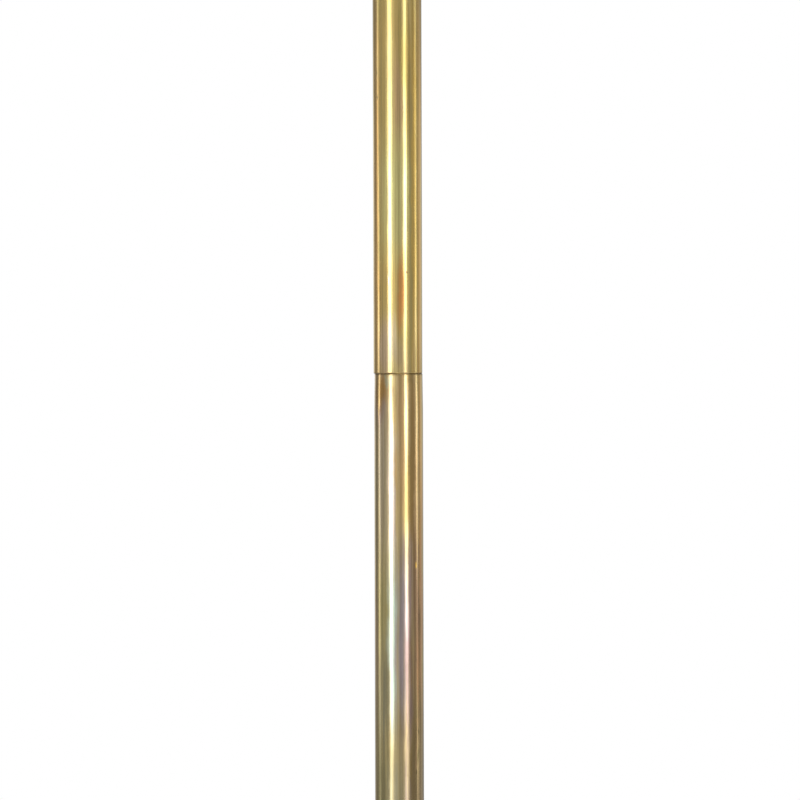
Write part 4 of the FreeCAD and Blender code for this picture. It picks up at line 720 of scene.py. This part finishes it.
porcelain, tree, shader, at = start_material("porcelain")
glaze = noise(tree, at, 140, 3.0)
specks = noise(tree, at, 1500, 2.0, 0.5)
white = blend_colours(tree, glaze, (0.74, 0.72, 0.66, 1), (0.84, 0.83, 0.79, 1))
white = blend_colours(tree, ramp_between(tree, specks, 0.72, 0.78, 0.0, 0.6), white, (0.20, 0.15, 0.10, 1))
put_in(shader, Base_Color=white, Roughness=ramp_between(tree, glaze, 0.3, 0.7, 0.10, 0.20),
       Coat_Weight=0.5, Normal=bump(tree, glaze, 0.0002))
finish_nodes(porcelain, "lamp_socket")

nickel, tree, shader, at = start_material("nickelled_brass")
spin = noise(tree, at, 1600, 3.0, 0.6, (4, 1, 1))
heat = noise(tree, at, 120, 4.0)
grey = blend_colours(tree, heat, (0.52, 0.48, 0.40, 1), (0.70, 0.67, 0.60, 1))
put_in(shader, Base_Color=grey, Metallic=1.0, Roughness=ramp_between(tree, heat, 0.3, 0.7, 0.2, 0.38),
       Normal=bump(tree, spin, 0.00005))
finish_nodes(nickel, "socket_shell", "socket_contact")


# ---- switch --------------------------------------------------------------------------------------------
# A rotary switch is built into the back of the lampholder. Its bush comes out through the cup, where a
# fluted ring nut holds it, and a small fluted brass knob is pinned on its shaft.

dial_low, dial_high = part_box("switch_knob")
switch_axis = ((dial_low.x + dial_high.x) / 2, 0, arm_height)
switch_brass = turned_brass("switch_brass", "Y", switch_axis, lines=2600, rough=0.16, edge=0.0003)
finish_nodes(switch_brass, "switch_bush", "switch_nut", "switch_shaft", "switch_knob")


# ---- shade ---------------------------------------------------------------------------------------------
# A half-round trough of sheet brass with closed ends, its rim rolled over a wire and its crown pierced
# with vent holes. The outside is polished lengthways; the inside is sprayed with white enamel.

BEAD_HEIGHT = 0.0034                 # the rolled rim, brass all round
ENAMEL_EDGE = 0.0004                 # how sharply the enamel stops at the rim
MIDDLE_ABOVE_RIM = 0.012
SOOTED_DEPTH = 0.03                  # of the crown, where the bulb's heat yellows the enamel

shade_low, shade_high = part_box("shade")
shade_middle = ((shade_low.x + shade_high.x) / 2, 0, shade_low.z + MIDDLE_ABOVE_RIM)
bead_top = shade_low.z + BEAD_HEIGHT

shade_brass, tree, shader, at = start_material("shade_brass")
outward = add(tree, "TexCoord").outputs["Normal"]
from_middle = add(tree, "VectorMath", {0: at, 1: shade_middle}, operation="SUBTRACT").outputs[0]
facing = add(tree, "VectorMath", {0: outward, 1: from_middle}, operation="DOT_PRODUCT").outputs["Value"]
rise = add(tree, "SeparateXYZ", {0: at}).outputs["Z"]
above_bead = ramp_between(tree, rise, bead_top - ENAMEL_EDGE, bead_top + ENAMEL_EDGE)
inside = math_node(tree, "MULTIPLY", ramp_between(tree, facing, 0.0, -0.006), above_bead)
buffed = noise(tree, at, 1300, 3.0, 0.65, (0.03, 1, 1))
cloud = noise(tree, at, 14, 4.0, 0.6)
patch = noise(tree, at, 36, 5.0, 0.65)
fleck = noise(tree, at, 620, 2.0, 0.6)
sheet = blend_colours(tree, ramp_between(tree, cloud, 0.35, 0.65), GOLD, GREEN_GOLD)
sheet = blend_colours(tree, ramp_between(tree, patch, 0.46, 0.70, 0.0, 0.55), sheet, ROSE_BROWN)
sheet = blend_colours(tree, ramp_between(tree, fleck, 0.66, 0.74, 0.0, 0.5), sheet, OLD_BROWN)
sheet = blend_colours(tree, ramp_between(tree, buffed, 0.55, 0.75, 0.0, 0.2), sheet, (0.88, 0.70, 0.32, 1))
spray = noise(tree, at, 1700, 3.0, 0.6)
soot = noise(tree, at, 26, 4.0, 0.6)
heat_rise = ramp_between(tree, rise, shade_high.z - SOOTED_DEPTH, shade_high.z, 0.0, 0.4)
enamel = blend_colours(tree, ramp_between(tree, soot, 0.4, 0.8, 0.0, 0.4), (0.80, 0.78, 0.72, 1),
                       (0.66, 0.58, 0.44, 1))
enamel = blend_colours(tree, heat_rise, enamel, (0.52, 0.42, 0.28, 1))
polish = ramp_between(tree, patch, 0.40, 0.75, 0.19, 0.33)
gloss = math_node(tree, "ADD", math_node(tree, "MULTIPLY", inside, 0.22), polish)
put_in(shader, Base_Color=blend_colours(tree, inside, sheet, enamel),
       Metallic=math_node(tree, "SUBTRACT", 1.0, inside), Roughness=gloss,
       Normal=bump(tree, buffed, 0.00003, bump(tree, spray, 0.00004, bump(tree, cloud, 0.0012))))
finish_nodes(shade_brass, "shade")

ring_brass = turned_brass("ring_brass", "X", (0, 0, arm_height), lines=2200, rough=0.18, edge=0.0003)
finish_nodes(ring_brass, "shade_ring")


# ---- bulb ----------------------------------------------------------------------------------------------
# A clear tubular bulb: a blown glass tube, a rolled aluminium screw cap with a black glass nose and a
# soldered tip, a glass stem, and a tungsten coil on two wires. It rides in the shade's lampholder.

CAP_THREAD = 0.00363                 # pitch of the rolled thread
CAP_THREAD_DEPTH = 0.0008
CAP_THREAD_RUN_OUT = 0.002
CAP_SKIRT = 0.003                    # plain edge beyond the thread
CAP_TIP = 0.005
CAP_NOSE = 0.006
CAP_INSIDE = 0.9                     # radius of the cap's hollow, as a share of the skirt's
CAP_FLOOR = 0.0085                   # from the tip to the floor of the hollow
CAP_TURNS = 96
CAP_STEPS = 84
NOSE_EDGE = 0.0004                   # how sharply the black glass stops

cap_low, cap_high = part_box("bulb_cap")
cap_radius = (cap_high.z - cap_low.z) / 2
cap_length = cap_high.x - cap_low.x


def cap_reach(along, angle):
    """The cap's radius at a distance from its tip: tapered nose, then rolled thread, then plain skirt."""
    if along < CAP_NOSE:
        share = along / CAP_NOSE
        return CAP_TIP + (cap_radius - CAP_THREAD_DEPTH - CAP_TIP) * math.sin(math.pi / 2 * share) ** 0.8
    start = min(1.0, (along - CAP_NOSE) / CAP_THREAD_RUN_OUT)
    end = min(1.0, max(0.0, (cap_length - CAP_SKIRT - along) / CAP_THREAD_RUN_OUT))
    wave = 0.5 - 0.5 * math.cos(2 * math.pi * (along / CAP_THREAD - angle / (2 * math.pi)))
    return cap_radius - CAP_THREAD_DEPTH * (1 - wave * start * end)


def cap_ring(mesh, along, reach_at):
    """One ring of points round the cap, at a distance from its tip."""
    ring = []
    for k in range(CAP_TURNS):
        angle = 2 * math.pi * k / CAP_TURNS
        reach = reach_at(angle)
        ring.append(mesh.verts.new((cap_low.x + along, reach * math.sin(angle),
                                    arm_height + reach * math.cos(angle))))
    return ring


def skin(mesh, rings):
    """Faces between each ring of points and the next, and one over each end."""
    for here, there in zip(rings, rings[1:]):
        for k in range(len(here)):
            j = (k + 1) % len(here)
            mesh.faces.new((here[k], here[j], there[j], there[k])).smooth = True
    mesh.faces.new(rings[0])
    mesh.faces.new(rings[-1])


mesh = bmesh.new()
rings = []
for step in range(CAP_STEPS + 1):
    along = cap_length * step / CAP_STEPS
    rings.append(cap_ring(mesh, along, lambda angle: cap_reach(along, angle)))
for along in (cap_length, CAP_FLOOR):
    rings.append(cap_ring(mesh, along, lambda angle: CAP_INSIDE * cap_reach(cap_length, angle)))
skin(mesh, rings)
screw_cap = link_mesh("screw_cap", mesh)

cap_metal, tree, shader, at = start_material("bulb_cap_metal")
along, out = from_axis(tree, at, "X", (cap_low.x, 0, arm_height))
smear = noise(tree, at, 420, 4.0, 0.6)
tin = blend_colours(tree, smear, (0.62, 0.62, 0.60, 1), (0.78, 0.78, 0.76, 1))
nose = math_node(tree, "MULTIPLY", ramp_between(tree, along, CAP_NOSE, CAP_NOSE - NOSE_EDGE),
                 ramp_between(tree, out, CAP_TIP + NOSE_EDGE / 2, CAP_TIP + 2 * NOSE_EDGE))
tin = blend_colours(tree, nose, tin, (0.012, 0.010, 0.014, 1))
put_in(shader, Base_Color=tin, Metallic=math_node(tree, "SUBTRACT", 1.0, nose),
       Roughness=ramp_between(tree, smear, 0.3, 0.7, 0.2, 0.36), Normal=bump(tree, smear, 0.00005))
fit(screw_cap, cap_metal, "shade", "bulb_metal", "bulb_cap")

clear_glass, tree, shader, at = start_material("bulb_clear_glass")
dust = noise(tree, at, 260, 4.0, 0.6)
blown = noise(tree, at, 45, 2.0)
tint = blend_colours(tree, ramp_between(tree, dust, 0.4, 0.8), (1.0, 1.0, 1.0, 1), (0.93, 0.94, 0.93, 1))
put_in(shader, Base_Color=tint, Roughness=ramp_between(tree, dust, 0.55, 0.85, 0.0, 0.12), IOR=1.5,
       Transmission_Weight=1.0, Normal=bump(tree, blown, 0.0004))
finish_nodes(clear_glass, "bulb_glass", "bulb_stem")

WIRE = 0.0003                        # radius of the two supports
WIRE_SIDES = 8
COIL_WIRE = 0.00016
COIL_RADIUS = 0.0008
COIL_PITCH = 0.0007
COIL_POINTS = 12
COIL_SETBACK = 0.006                 # of the coil, from the foot of the short wire
COIL_OVERLAP = 0.001                 # of the short wire, inside the coil
COIL_CLEARANCE = 0.0002
SUPPORT_CLEARANCE = 0.00035

fil_low, fil_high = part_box("bulb_filament")
coil_height = fil_high.z - COIL_RADIUS
wire_height = fil_low.z + SUPPORT_CLEARANCE
coil_start = fil_low.x + COIL_SETBACK
coil_end = fil_high.x - COIL_CLEARANCE


def wire_between(mesh, points, radius):
    """A round wire through these points, closed at both ends."""
    rings = []
    for i, point in enumerate(points):
        ahead = points[min(i + 1, len(points) - 1)] - points[max(i - 1, 0)]
        ahead.normalize()
        side = ahead.orthogonal() if i == 0 else (side - ahead * side.dot(ahead))
        side.normalize()
        up = ahead.cross(side)
        rings.append([mesh.verts.new(point + radius * (math.cos(2 * math.pi * k / WIRE_SIDES) * side
                                                       + math.sin(2 * math.pi * k / WIRE_SIDES) * up))
                      for k in range(WIRE_SIDES)])
    skin(mesh, rings)


mesh = bmesh.new()
coil_turns = (coil_end - coil_start) / COIL_PITCH
reach = COIL_RADIUS - COIL_WIRE
coil = []
for k in range(int(coil_turns * COIL_POINTS)):
    angle = 2 * math.pi * k / COIL_POINTS
    coil.append(Vector((coil_start + COIL_PITCH * k / COIL_POINTS, reach * math.sin(angle),
                        coil_height + reach * math.cos(angle))))
wire_between(mesh, coil, COIL_WIRE)
short_wire = [(fil_low.x, coil_height), (coil_start + COIL_OVERLAP, coil_height)]
long_wire = [(fil_low.x, wire_height), (coil_end - WIRE, wire_height),
             (coil_end, wire_height + WIRE), (coil_end, coil_height)]
for support in (short_wire, long_wire):
    wire_between(mesh, [Vector((x, 0, z)) for x, z in support], WIRE)
filament = link_mesh("filament_coil", mesh)

tungsten, tree, shader, at = start_material("tungsten")
scale = noise(tree, at, 3000, 3.0)
drawn_wire = blend_colours(tree, scale, (0.20, 0.20, 0.21, 1), (0.40, 0.40, 0.41, 1))
put_in(shader, Base_Color=drawn_wire, Metallic=1.0, Roughness=ramp_between(tree, scale, 0.3, 0.7, 0.3, 0.5))
fit(filament, tungsten, "shade", "plated_steel", "bulb_filament")
